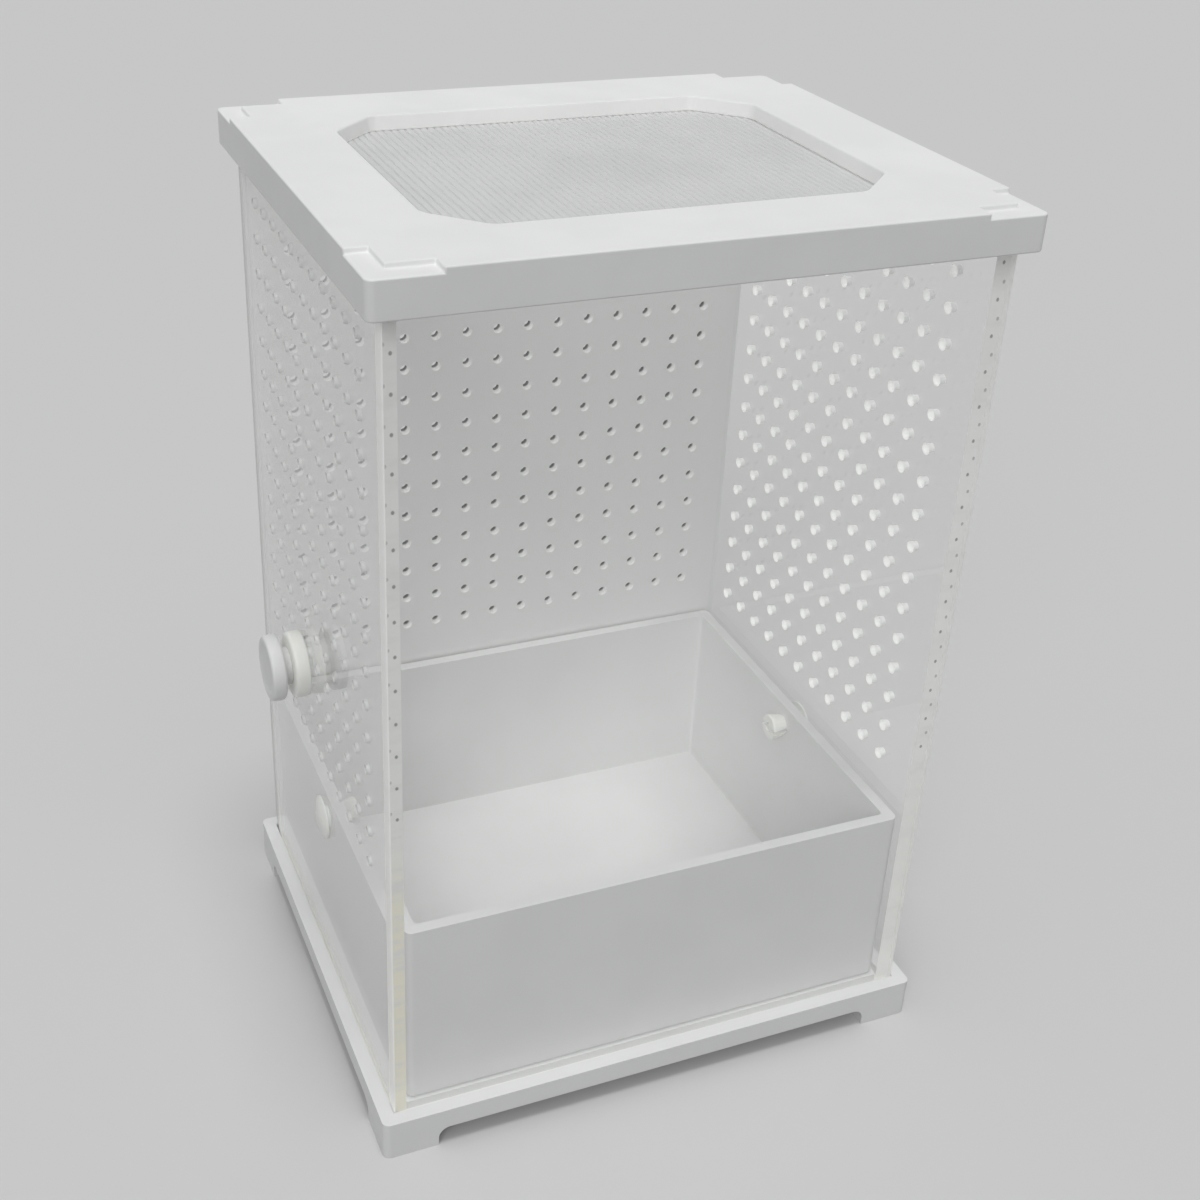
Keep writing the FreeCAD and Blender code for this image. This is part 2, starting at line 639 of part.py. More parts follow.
def is_disc_rim(edge):
    """Say whether an edge is one of the two outer rims of the plug's disc."""
    return is_rim(edge, "plug_disc_diameter")


fillet(plug, "plug_rims", "sizes.plug_disc_edge", is_disc_rim)

doc.recompute()

for item in doc.Objects:
    if "Invalid" in item.State or "Error" in item.State:
        raise RuntimeError("%s is in state %s" % (item.Name, item.State))

NODES = [
    base, front, doc.left_panel, doc.right_panel, rear, lid, vent, tray,
    doc.rivet_left, doc.rivet_pin_left, doc.rivet_right, doc.rivet_pin_right, collar, plug,
]

os.makedirs("parts", exist_ok=True)
for node in NODES:
    if node.Shape.isNull() or not node.Shape.isValid():
        raise RuntimeError("%s has no valid shape" % node.Label)
for node in NODES:
    node.Shape.exportStep("parts/%s.step" % node.Label)
    box = node.Shape.BoundBox
    print(
        "%-16s x %8.2f %8.2f  y %8.2f %8.2f  z %8.2f %8.2f  volume %10.1f"
        % (node.Label, box.XMin, box.XMax, box.YMin, box.YMax, box.ZMin, box.ZMax, node.Shape.Volume)
    )
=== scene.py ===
import logging
import math
from dataclasses import dataclass, field
from enum import Enum
from typing import ClassVar, Sequence

import bmesh
import bpy
from mathutils import Matrix, Vector


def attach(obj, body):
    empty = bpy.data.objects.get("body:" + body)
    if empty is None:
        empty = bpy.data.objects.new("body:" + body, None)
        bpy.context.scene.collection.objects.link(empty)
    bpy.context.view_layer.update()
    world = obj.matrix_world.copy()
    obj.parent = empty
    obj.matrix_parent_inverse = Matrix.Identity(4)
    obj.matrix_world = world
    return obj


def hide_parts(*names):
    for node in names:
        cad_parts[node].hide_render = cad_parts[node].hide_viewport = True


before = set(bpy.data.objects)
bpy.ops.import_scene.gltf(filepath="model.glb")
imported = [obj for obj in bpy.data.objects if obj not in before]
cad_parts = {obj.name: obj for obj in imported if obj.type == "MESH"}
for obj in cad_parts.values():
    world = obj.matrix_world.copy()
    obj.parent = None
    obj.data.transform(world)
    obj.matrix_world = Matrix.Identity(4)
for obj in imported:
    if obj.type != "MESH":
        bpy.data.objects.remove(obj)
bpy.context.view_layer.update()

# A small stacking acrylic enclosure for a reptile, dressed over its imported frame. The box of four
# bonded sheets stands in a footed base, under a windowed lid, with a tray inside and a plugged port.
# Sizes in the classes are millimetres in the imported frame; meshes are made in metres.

log = logging.getLogger("enclosure")

MM = 0.001
MERGE_DISTANCE = 1e-6
FLAT_ANGLE = math.radians(0.6)
BOX_MIDDLE = 2.4

Pair = tuple[float, float]
Triple = tuple[float, float, float]


class Side(Enum):
    """The end of the box that a piece belongs to, as its direction along X."""

    LEFT = -1
    RIGHT = 1


class Wire:
    """An output socket that can be used in Python expressions, which add the maths nodes."""

    def __init__(self, graph: "Graph", socket: bpy.types.NodeSocket) -> None:
        """Keeps the graph that the socket belongs to, and the socket."""
        self.graph = graph
        self.socket = socket

    def output(self, name: str | int) -> "Wire":
        """Another output of the same node."""
        return Wire(self.graph, self.graph.find(self.socket.node.outputs, name))

    def maths(self, operation: str, *others: "Wire | float") -> "Wire":
        """Adds a Math node for a number, or a Vector Math node for a vector or colour.

        Args:
            operation: The node's operation.
            others: The operands after this one.

        Returns:
            The node's result.
        """
        return self.graph.maths(operation, self, *others)

    def __add__(self, other: "Wire | float") -> "Wire":
        """This plus the other."""
        return self.maths("ADD", other)

    def __radd__(self, other: float) -> "Wire":
        """The other plus this."""
        return self.graph.maths("ADD", other, self)

    def __sub__(self, other: "Wire | float") -> "Wire":
        """This less the other."""
        return self.maths("SUBTRACT", other)

    def __rsub__(self, other: float) -> "Wire":
        """The other less this."""
        return self.graph.maths("SUBTRACT", other, self)

    def __mul__(self, other: "Wire | float") -> "Wire":
        """This times the other."""
        return self.maths("MULTIPLY", other)

    def __rmul__(self, other: float) -> "Wire":
        """The other times this."""
        return self.graph.maths("MULTIPLY", other, self)

    def __truediv__(self, other: "Wire | float") -> "Wire":
        """This divided by the other."""
        return self.maths("DIVIDE", other)

    def __rtruediv__(self, other: float) -> "Wire":
        """The other divided by this."""
        return self.graph.maths("DIVIDE", other, self)

    def __gt__(self, other: "Wire | float") -> "Wire":
        """One where this is the greater, and zero elsewhere."""
        return self.maths("GREATER_THAN", other)


class Graph:
    """A node tree, with one method that adds any node and links it."""

    def __init__(self, tree: bpy.types.NodeTree) -> None:
        """Keeps the tree."""
        self.tree = tree

    @staticmethod
    def find(sockets: bpy.types.bpy_prop_collection, key: str | int) -> bpy.types.NodeSocket:
        """Finds a socket.

        Args:
            sockets: A node's inputs or outputs.
            key: The socket's index, identifier or name.

        Returns:
            The socket.
        """
        if isinstance(key, int):
            return sockets[key]
        for socket in sockets:
            if socket.identifier == key:
                return socket
        return sockets[key]

    def feed(self, socket: bpy.types.NodeSocket, value: object) -> None:
        """Links a wire to an input socket, or sets the socket's own value.

        Args:
            socket: The input socket.
            value: A wire, number, vector, colour or data-block.
        """
        if isinstance(value, Wire):
            self.tree.links.new(value.socket, socket)
            return
        wide = hasattr(socket.default_value, "__len__") and not isinstance(value, str)
        if wide and isinstance(value, (int, float)):
            value = (value,) * 3
        if socket.type == "RGBA" and len(value) == 3:
            value = (*value, 1.0)
        socket.default_value = value

    def node(
        self,
        kind: str,
        settings: dict[str, object] | None = None,
        inputs: dict[str | int, object] | None = None,
        output: str | int = 0,
    ) -> Wire | None:
        """Adds a node.

        Args:
            kind: The node's type.
            settings: Its settings, set before its sockets; "stops" are a ramp's places and colours.
            inputs: Values or wires for its input sockets, by index, identifier or name.
            output: The output to return.

        Returns:
            The output, or None for a node that has none.
        """
        made = self.tree.nodes.new(kind)
        for name, value in (settings or {}).items():
            if name == "stops":
                self.set_stops(made.color_ramp, value)
            else:
                setattr(made, name, value)
        for key, value in (inputs or {}).items():
            self.feed(self.find(made.inputs, key), value)
        if not len(made.outputs):
            return None
        return Wire(self, self.find(made.outputs, output))

    @staticmethod
    def set_stops(ramp: bpy.types.ColorRamp, stops: Sequence[tuple[float, Triple]]) -> None:
        """Gives a colour ramp its stops.

        Args:
            ramp: The ramp.
            stops: The place and colour of each stop.
        """
        while len(ramp.elements) < len(stops):
            ramp.elements.new(1.0)
        for element, (place, colour) in zip(ramp.elements, stops):
            element.position = place
            element.color = (*colour, 1.0)

    def maths(self, operation: str, *operands: Wire | float) -> Wire:
        """Adds a Math node, or a Vector Math node where an operand is a vector or colour.

        Args:
            operation: The node's operation.
            operands: Wires and numbers, in order.

        Returns:
            The result.
        """
        wide = any(isinstance(o, Wire) and o.socket.type in {"VECTOR", "RGBA"} for o in operands)
        kind = "ShaderNodeVectorMath" if wide else "ShaderNodeMath"
        return self.node(kind, {"operation": operation}, dict(enumerate(operands)))

    def blend(self, share: Wire | float, first: Wire | Triple, second: Wire | Triple) -> Wire:
        """Mixes two colours.

        Args:
            share: The second colour's share, from 0 to 1.
            first: The first colour.
            second: The second colour.

        Returns:
            The mixed colour.
        """
        inputs = {"Factor_Float": share, "A_Color": first, "B_Color": second}
        return self.node("ShaderNodeMix", {"data_type": "RGBA"}, inputs, "Result_Color")

    def noise(self, place: Wire, scale: float, detail: float = 2.0, roughness: float = 0.5) -> Wire:
        """Adds a noise texture.

        Args:
            place: The coordinates.
            scale: How many features there are in a metre.
            detail: How many finer layers are added.
            roughness: How strong the finer layers are.

        Returns:
            The noise, from 0 to 1.
        """
        inputs = {"Vector": place, "Scale": scale, "Detail": detail, "Roughness": roughness}
        return self.node("ShaderNodeTexNoise", inputs=inputs, output=0)

    def spread(self, value: Wire, low: float, high: float) -> Wire:
        """Stretches a number smoothly so that low becomes 0 and high becomes 1.

        Args:
            value: The number.
            low: What becomes 0.
            high: What becomes 1.

        Returns:
            The stretched number, from 0 to 1.
        """
        settings = {"interpolation_type": "SMOOTHSTEP"}
        return self.node("ShaderNodeMapRange", settings, {"Value": value, "From Min": low, "From Max": high})


@dataclass(frozen=True)
class Finish:
    """A procedural material, made once and shared by the pieces that wear it."""

    name: str

    def material(self) -> bpy.types.Material:
        """The finish's material."""
        found = bpy.data.materials.get(self.name)
        if found is not None:
            return found
        made = bpy.data.materials.new(self.name)
        made.use_nodes = True
        made.node_tree.nodes.clear()
        graph = Graph(made.node_tree)
        graph.node("ShaderNodeOutputMaterial", inputs={"Surface": self.surface(graph)})
        return made

    def surface(self, graph: Graph) -> Wire:
        """Adds the shader's nodes and returns the shader."""
        raise NotImplementedError

    @staticmethod
    def place(graph: Graph) -> Wire:
        """The piece's own coordinates, in metres."""
        return graph.node("ShaderNodeTexCoord", output="Object")

    @staticmethod
    def let_through(graph: Graph, shader: Wire, light: Triple, bounced: bool = True) -> Wire:
        """Lets light pass a thin piece, as one that light shines through.

        Args:
            graph: The material's nodes.
            shader: The shader that other rays meet.
            light: The share of each colour that gets past one face.
            bounced: Whether bounced light passes too, and not only the lamps'.

        Returns:
            The mixed shader.
        """
        passing = graph.node("ShaderNodeBsdfTransparent", inputs={"Color": light})
        path = graph.node("ShaderNodeLightPath")
        lit = shader
        if bounced:
            lit = graph.node(
                "ShaderNodeMixShader", inputs={0: path.output("Is Diffuse Ray"), 1: shader, 2: passing}
            )
        return graph.node(
            "ShaderNodeMixShader", inputs={0: path.output("Is Shadow Ray"), 1: lit, 2: passing}
        )


@dataclass(frozen=True)
class MouldedPlastic(Finish):
    """Injection-moulded plastic with a fine grain, faint flow clouds and a few fine scuffs, and, where given, a
    painted glow.
    """

    colour: Triple
    cloud_colour: Triple
    roughness: float = 0.46
    grain_height: float = 0.012
    grain_scale: float = 2600.0
    cloud_scale: float = 48.0
    scuff_scale: float = 900.0
    softness: float = 0.0
    light_depth: Triple = (1.0, 1.0, 0.8)
    passed_light: Triple | None = None
    painted_glow: float = 0.0

    def surface(self, graph: Graph) -> Wire:
        """Adds the plastic's nodes and returns the shader."""
        place = self.place(graph)
        cloud = graph.spread(graph.noise(place, self.cloud_scale, 3.0, 0.55), 0.35, 0.7)
        stretched = graph.node(
            "ShaderNodeMapping",
            inputs={"Vector": place, "Rotation": (0.3, 0.2, 0.6), "Scale": (0.05, 1.0, 0.4)},
        )
        scuff = graph.spread(graph.noise(stretched, self.scuff_scale, 2.0, 0.6), 0.66, 0.74)
        grain = graph.noise(place, self.grain_scale, 2.0, 0.6)
        bump = graph.node(
            "ShaderNodeBump",
            inputs={"Strength": 1.0, "Distance": self.grain_height * MM, "Height": grain},
        )
        plastic = graph.node(
            "ShaderNodeBsdfPrincipled",
            inputs={
                "Base Color": graph.blend(cloud, self.colour, self.cloud_colour),
                "Roughness": self.roughness + 0.06 * cloud - 0.1 * scuff,
                "IOR": 1.5,
                "Subsurface Weight": self.softness,
                "Subsurface Radius": self.light_depth,
                "Subsurface Scale": MM,
                # Painted light: a glow above zero makes the plastic shine by itself, though it is no lamp.
                "Emission Color": self.colour,
                "Emission Strength": self.painted_glow,
                "Normal": bump,
            },
        )
        if self.passed_light is None:
            return plastic
        return self.let_through(graph, plastic, self.passed_light, self.painted_glow == 0.0)


@dataclass(frozen=True)
class PolishedSheet(Finish):
    """Opaque cast acrylic sheet: a polished face with a faint waviness under the gloss."""

    colour: Triple
    cloud_colour: Triple
    roughness: float = 0.09
    wave_height: float = 0.006
    wave_scale: float = 35.0

    def surface(self, graph: Graph) -> Wire:
        """Adds the sheet's nodes and returns the shader."""
        place = self.place(graph)
        cloud = graph.spread(graph.noise(place, 22.0, 2.0), 0.3, 0.7)
        smudge = graph.spread(graph.noise(place, 70.0, 4.0, 0.65), 0.5, 0.75)
        wave = graph.noise(place, self.wave_scale, 1.0)
        bump = graph.node(
            "ShaderNodeBump",
            inputs={"Strength": 1.0, "Distance": self.wave_height * MM, "Height": wave},
        )
        return graph.node(
            "ShaderNodeBsdfPrincipled",
            inputs={
                "Base Color": graph.blend(cloud, self.colour, self.cloud_colour),
                "Roughness": self.roughness + 0.07 * smudge,
                "IOR": 1.49,
                "Normal": bump,
            },
        )


@dataclass(frozen=True)
class ClearSheet(Finish):
    """Clear cast acrylic sheet, through which shadow rays and diffuse light pass nearly whole."""

    colour: Triple
    passed_light: Triple
    roughness: float = 0.004
    smudge_roughness: float = 0.012

    def surface(self, graph: Graph) -> Wire:
        """Adds the sheet's nodes and returns the shader."""
        place = self.place(graph)
        smudge = graph.spread(graph.noise(place, 60.0, 4.0, 0.65), 0.5, 0.8)
        glass = graph.node(
            "ShaderNodeBsdfPrincipled",
            inputs={
                "Base Color": self.colour,
                "Roughness": self.roughness + self.smudge_roughness * smudge,
                "IOR": 1.49,
                "Transmission Weight": 1.0,
            },
        )
        return self.let_through(graph, glass, self.passed_light)


@dataclass(frozen=True)
class SawnEdge(Finish):
    """The sawn end of a clear sheet: milky, with faint saw marks, a painted glow and painted dark reflections of the
    air holes.

    Each column of painted reflections is its place along X, its lowest dot's height and its strength.
    """

    colour: Triple
    mark_colour: Triple
    foot_colour: Triple
    columns: tuple[Triple, ...]
    painted_glow: float
    painted_reflection_colour: Triple = (0.16, 0.17, 0.16)
    passed_light: Triple = (0.95, 0.95, 0.94)
    foot_height: Pair = (52.0, 78.0)
    dot_pitch: float = 6.75
    dot_width: float = 0.34
    dot_height: float = 0.42

    def surface(self, graph: Graph) -> Wire:
        """Adds the edge's nodes and returns the shader."""
        place = self.place(graph)
        flat = graph.node("ShaderNodeMapping", inputs={"Vector": place, "Scale": (0.25, 0.25, 1.0)})
        marks = graph.spread(graph.noise(flat, 260.0, 4.0, 0.7), 0.42, 0.68)
        at = graph.node("ShaderNodeSeparateXYZ", inputs={0: place})
        upper = graph.spread(at.output("Z"), self.foot_height[0] * MM, self.foot_height[1] * MM)
        colour = graph.blend(marks, graph.blend(upper, self.foot_colour, self.colour), self.mark_colour)
        # Painted reflections: dark dots where the air holes are mirrored in the edge.
        for across, lowest, strength in self.columns:
            reflection_dots = self.reflection_dots(graph, at, across, lowest)
            colour = graph.blend(strength * reflection_dots, colour, self.painted_reflection_colour)
        edge = graph.node(
            "ShaderNodeBsdfPrincipled",
            inputs={
                "Base Color": colour,
                "Roughness": 0.3,
                "IOR": 1.49,
                # Painted light: the edge glows by itself, in place of the light the sheet carries to it.
                "Emission Color": colour,
                "Emission Strength": self.painted_glow,
            },
        )
        return self.let_through(graph, edge, self.passed_light)

    def reflection_dots(self, graph: Graph, at: Wire, across: float, lowest: float) -> Wire:
        """Paints a column of soft dark dots: painted reflections of a column of air holes.

        Args:
            graph: The material's nodes.
            at: The piece's own coordinates, split up.
            across: The column's place along X.
            lowest: The lowest dot's height.

        Returns:
            One at the dots and zero elsewhere.
        """
        aside = (at.output("X") - across * MM) / (self.dot_width * MM)
        steps = (at.output("Z") - lowest * MM) / (self.dot_pitch * MM) + 0.5
        along = (steps.maths("FRACT") - 0.5) * (self.dot_pitch / self.dot_height)
        reach = (aside * aside + along * along).maths("SQRT")
        return (1.0 - graph.spread(reach, 0.5, 1.2)) * (steps > 0.0)


@dataclass(frozen=True)
class DrilledWall(Finish):
    """The frosted wall that a drill leaves in a sheet, with a painted glow in place of the light the sheet carries to
    it, and painted shade deeper in where a depth is given.
    """

    colour: Triple
    ring_colour: Triple
    painted_glow: float = 0.0
    painted_shade_colour: Triple = (0.05, 0.05, 0.05)
    # The Y range over which painted shade darkens the wall deeper into the hole.
    depth: Pair | None = None

    def surface(self, graph: Graph) -> Wire:
        """Adds the wall's nodes and returns the shader."""
        place = self.place(graph)
        swirl = graph.spread(graph.noise(place, 1500.0, 3.0, 0.6), 0.4, 0.7)
        colour = graph.blend(swirl, self.colour, self.ring_colour)
        # Painted shade: the wall turns nearly black deeper into the hole, where shade falls.
        if self.depth is not None:
            at = graph.node("ShaderNodeSeparateXYZ", inputs={0: place}, output="Y")
            painted_shade = graph.spread(at, self.depth[0] * MM, self.depth[1] * MM)
            colour = graph.blend(painted_shade, colour, self.painted_shade_colour)
        return graph.node(
            "ShaderNodeBsdfPrincipled",
            inputs={
                "Base Color": colour,
                "Roughness": 0.4 + 0.1 * swirl,
                "IOR": 1.49,
                # Painted light: a glow above zero makes the wall shine by itself.
                "Emission Color": colour,
                "Emission Strength": self.painted_glow,
            },
        )


WHITE = MouldedPlastic("moulded_white", (0.87, 0.873, 0.868), (0.84, 0.843, 0.838))
WHITE_SHEET = PolishedSheet("polished_white_sheet", (0.925, 0.926, 0.918), (0.905, 0.906, 0.898))
CLEAR_SHEET = ClearSheet("clear_sheet_glass", (0.993, 0.994, 0.992), (0.988, 0.989, 0.988))
VENT_GREY = MouldedPlastic(
    "vent_grey", (0.66, 0.665, 0.66), (0.625, 0.63, 0.625), roughness=0.5, grain_height=0.006,
    passed_light=(0.99, 0.99, 0.988),
)
# Painted light: the vent's underside is a lighter copy of the vent grey that glows by itself, standing in for
# sunlight coming through the vent into the box.
GLOWING_VENT_UNDERSIDE = MouldedPlastic(
    "vent_underside_painted_glow", (0.74, 0.745, 0.74), (0.71, 0.715, 0.71), roughness=0.5, grain_height=0.006,
    passed_light=(0.99, 0.99, 0.988), painted_glow=0.55,
)
# Painted light: the nylon's faint glow makes it shine by itself, in place of light passing through it.
NATURAL = MouldedPlastic(
    "natural_nylon", (0.93, 0.935, 0.90), (0.905, 0.91, 0.87), roughness=0.34, grain_height=0.006,
    softness=0.35, light_depth=(1.2, 1.1, 0.8), painted_glow=0.03,
)
# Painted light: both sawn edges glow by themselves, the right one more than the left, and carry painted reflections
# of the holes.
LEFT_EDGE = SawnEdge(
    "sawn_left_edge", (0.93, 0.932, 0.915), (0.87, 0.872, 0.85), (0.96, 0.93, 0.79),
    ((BOX_MIDDLE - 54.5, 78.7, 0.75), (BOX_MIDDLE - 55.7, 80.2, 0.35)), 0.06,
)
RIGHT_EDGE = SawnEdge(
    "sawn_right_edge", (0.95, 0.952, 0.935), (0.90, 0.902, 0.88), (0.95, 0.948, 0.915),
    ((BOX_MIDDLE + 55.1, 69.15, 0.75), (BOX_MIDDLE + 55.8, 72.35, 0.5)), 0.1,
)
# Lit and shaded copies of one drilled wall: the right walls are painted brighter and glow more than the left, and the
# rear walls glow and get painted shade deeper in.
LEFT_HOLE = DrilledWall("drilled_left_wall", (0.84, 0.845, 0.835), (0.78, 0.785, 0.775), 0.03)
RIGHT_HOLE = DrilledWall("drilled_right_wall", (0.92, 0.925, 0.915), (0.86, 0.865, 0.855), 0.18)
REAR_HOLE = DrilledWall(
    "drilled_rear_wall", (0.88, 0.882, 0.875), (0.86, 0.862, 0.855), 0.15, depth=(46.3, 47.2)
)


def add_object(name: str, shape: bmesh.types.BMesh) -> bpy.types.Object:
    """Makes an object of a mesh being edited, and frees the latter.

    Args:
        name: The object's name.
        shape: The mesh being edited.

    Returns:
        The object, linked to the scene.
    """
    mesh = bpy.data.meshes.new(name)
    shape.to_mesh(mesh)
    shape.free()
    piece = bpy.data.objects.new(name, mesh)
    bpy.context.scene.collection.objects.link(piece)
    return piece


def bake(piece: bpy.types.Object) -> None:
    """Turns a piece and its modifiers into a plain mesh, and removes the modifiers."""
    graph = bpy.context.evaluated_depsgraph_get()
    graph.update()
    mesh = bpy.data.meshes.new_from_object(piece.evaluated_get(graph))
    mesh.name = piece.name
    piece.data = mesh
    piece.modifiers.clear()


def smooth(piece: bpy.types.Object, sharp_angle: float) -> None:
    """Shades a piece smooth, except across edges that turn by more than an angle in degrees."""
    piece.data.shade_smooth()
    piece.data.set_sharp_from_angle(angle=math.radians(sharp_angle))


def soften_edges(piece: bpy.types.Object, radius: float, sharp_angle: float = 35.0, steps: int = 3) -> None:
    """Rounds a piece's sharp edges, as a mould leaves them.

    Args:
        piece: The piece, whose mesh is replaced.
        radius: The rounding's width in millimetres.
        sharp_angle: The least angle in degrees of an edge that is rounded.
        steps: The number of faces across the rounding.
    """
    bevel = piece.modifiers.new("rounding", "BEVEL")
    bevel.limit_method = "ANGLE"
    bevel.angle_limit = math.radians(sharp_angle)
    bevel.width = radius * MM
    bevel.segments = steps
    bevel.use_clamp_overlap = True
    piece.data.shade_smooth()
    weights = piece.modifiers.new("even shading", "WEIGHTED_NORMAL")
    weights.keep_sharp = False
    weights.weight = 90
    bake(piece)


def copy_node(node: str, name: str) -> bpy.types.Object:
    """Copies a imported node's mesh, with its triangles joined up and its flat faces made whole.

    Args:
        node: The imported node.
        name: The new object's name.

    Returns:
        The new object.
    """
    shape = bmesh.new()
    shape.from_mesh(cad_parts[node].data)
    bmesh.ops.remove_doubles(shape, verts=shape.verts, dist=MERGE_DISTANCE)
    bmesh.ops.dissolve_limit(shape, angle_limit=FLAT_ANGLE, verts=shape.verts, edges=shape.edges)
    return add_object(name, shape)


def round_corners(corners: Sequence[Triple], steps: int = 5) -> list[Pair]:
    """Rounds the corners of a closed outline.

    Args:
        corners: Each corner's place along the axis, its radius, and its rounding.
        steps: The number of straight pieces in each rounding.

    Returns:
        The points of the rounded outline.
    """
    points: list[Pair] = []
    for index, (along, radius, rounding) in enumerate(corners):
        corner = Vector((along, radius))
        if rounding <= 0:
            points.append(tuple(corner))
            continue
        before = (Vector(corners[index - 1][:2]) - corner).normalized()
        after = (Vector(corners[(index + 1) % len(corners)][:2]) - corner).normalized()
        half = math.acos(max(-1.0, min(1.0, before.dot(after)))) / 2
        centre = corner + (before + after).normalized() * (rounding / math.sin(half))
        start = corner + before * (rounding / math.tan(half)) - centre
        end = corner + after * (rounding / math.tan(half)) - centre
        turn = start.angle_signed(end)
        for step in range(steps + 1):
            points.append(tuple(centre + Matrix.Rotation(-turn * step / steps, 2) @ start))
    return points


def lathe(outline: Sequence[Pair], segments: int = 72) -> bmesh.types.BMesh:
    """Turns an outline about the X axis into a closed solid.

    Args:
        outline: The points' places along X and radii in millimetres, in order. Those at radius
            zero are the solid's poles; an outline without any makes a ring.
        segments: The number of faces round the axis.

    Returns:
        The solid, with its faces outwards, in metres.
    """
    shape = bmesh.new()
    rings: list[list[bmesh.types.BMVert]] = []
    for along, radius in outline:
        count = segments if radius > 1e-6 else 1
        ring = []
        for index in range(count):
            angle = 2 * math.pi * index / segments
            at = (along, radius * math.cos(angle), radius * math.sin(angle))
            ring.append(shape.verts.new(Vector(at) * MM))
        rings.append(ring)
    for index, ring in enumerate(rings):
        other = rings[(index + 1) % len(rings)]
        if len(ring) == 1 and len(other) == 1:
            continue
        for step in range(segments):
            following = (step + 1) % segments
            around = [ring[step % len(ring)], ring[following % len(ring)]]
            around += [other[following % len(other)], other[step % len(other)]]
            shape.faces.new(list(dict.fromkeys(around)))
    bmesh.ops.recalc_face_normals(shape, faces=shape.faces)
    return shape


def slab(low: Triple, high: Triple, chamfered_face: float | None = None, chamfer: float = 0.2) -> bmesh.types.BMesh:
    """A flat sheet, with a fine chamfer round its outer face.

    Args:
        low: The lowest corner in millimetres.
        high: The highest corner in millimetres.
        chamfered_face: The Y of the face whose edges are chamfered, or None for none.
        chamfer: The chamfer's width in millimetres.

    Returns:
        The sheet in metres.
    """
    shape = bmesh.new()
    bmesh.ops.create_cube(shape, size=1.0)
    for vert in shape.verts:
        vert.co = Vector([(high[i] if vert.co[i] > 0 else low[i]) * MM for i in range(3)])
    if chamfered_face is not None:
        edges = [e for e in shape.edges if all(abs(v.co.y - chamfered_face * MM) < MERGE_DISTANCE for v in e.verts)]
        bmesh.ops.bevel(shape, geom=edges, offset=chamfer * MM, segments=2, profile=0.5, affect="EDGES")
    return shape


def dress(piece: bpy.types.Object, body: str, slot: str, finish: Finish, *nodes: str) -> None:
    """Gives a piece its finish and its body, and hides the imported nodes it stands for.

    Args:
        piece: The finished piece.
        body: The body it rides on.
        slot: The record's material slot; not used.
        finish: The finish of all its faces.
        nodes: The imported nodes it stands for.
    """
    piece.data.materials.clear()
    piece.data.materials.append(finish.material())
    for face in piece.data.polygons:
        face.material_index = 0
    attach(piece, body)
    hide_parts(*nodes)
    log.info("%s: %d faces, on %s", piece.name, len(piece.data.polygons), body)


class PatternTree(Graph):
    """A Geometry Nodes tree with named inputs, which bakes its result into a piece."""

    def __init__(self, name: str, sockets: dict[str, str]) -> None:
        """Makes the tree and its inputs.

        Args:
            name: The tree's name.
            sockets: The kind of each input socket, by name.
        """
        super().__init__(bpy.data.node_groups.new(name, "GeometryNodeTree"))
        self.keys: dict[str, str] = {}
        for title, kind in sockets.items():
            made = self.tree.interface.new_socket(title, in_out="INPUT", socket_type=f"NodeSocket{kind}")
            self.keys[title] = made.identifier
        self.tree.interface.new_socket("Piece", in_out="OUTPUT", socket_type="NodeSocketGeometry")
        self.entry = self.node("NodeGroupInput")

    def given(self, title: str) -> Wire:
        """The input of that name."""
        return self.entry.output(self.keys[title])

    def boolean(self, operation: str, first: Wire, second: Wire) -> Wire:
        """Joins one closed solid to another, or cuts it away.

        Args:
            operation: DIFFERENCE or UNION.
            first: The solid that is kept.
            second: The solid that is cut away or added.

        Returns:
            The result.
        """
        settings = {"operation": operation, "solver": "MANIFOLD"}
        if operation == "UNION":
            both = self.tree.nodes.new("GeometryNodeJoinGeometry")
            self.tree.links.new(second.socket, both.inputs[0])
            self.tree.links.new(first.socket, both.inputs[0])
            return self.node("GeometryNodeMeshBoolean", settings, {1: Wire(self, both.outputs[0])})
        return self.node("GeometryNodeMeshBoolean", settings, {0: first, 1: second})

    def end(self, geometry: Wire) -> None:
        """Closes the tree with real geometry and its finish."""
        real = self.node("GeometryNodeRealizeInstances", inputs={0: geometry})
        dressed = self.node(
            "GeometryNodeSetMaterial", inputs={"Geometry": real, "Material": self.given("Finish")}
        )
        self.node("NodeGroupOutput", inputs={0: dressed})

    def apply(self, piece: bpy.types.Object, values: dict[str, object]) -> None:
        """Runs the tree on a piece and keeps the result as its mesh.

        Args:
            piece: The piece.
            values: The inputs' values, by name.
        """
        modifier = piece.modifiers.new(self.tree.name, "NODES")
        modifier.node_group = self.tree
        for title, value in values.items():
            modifier[self.keys[title]] = value
        bake(piece)


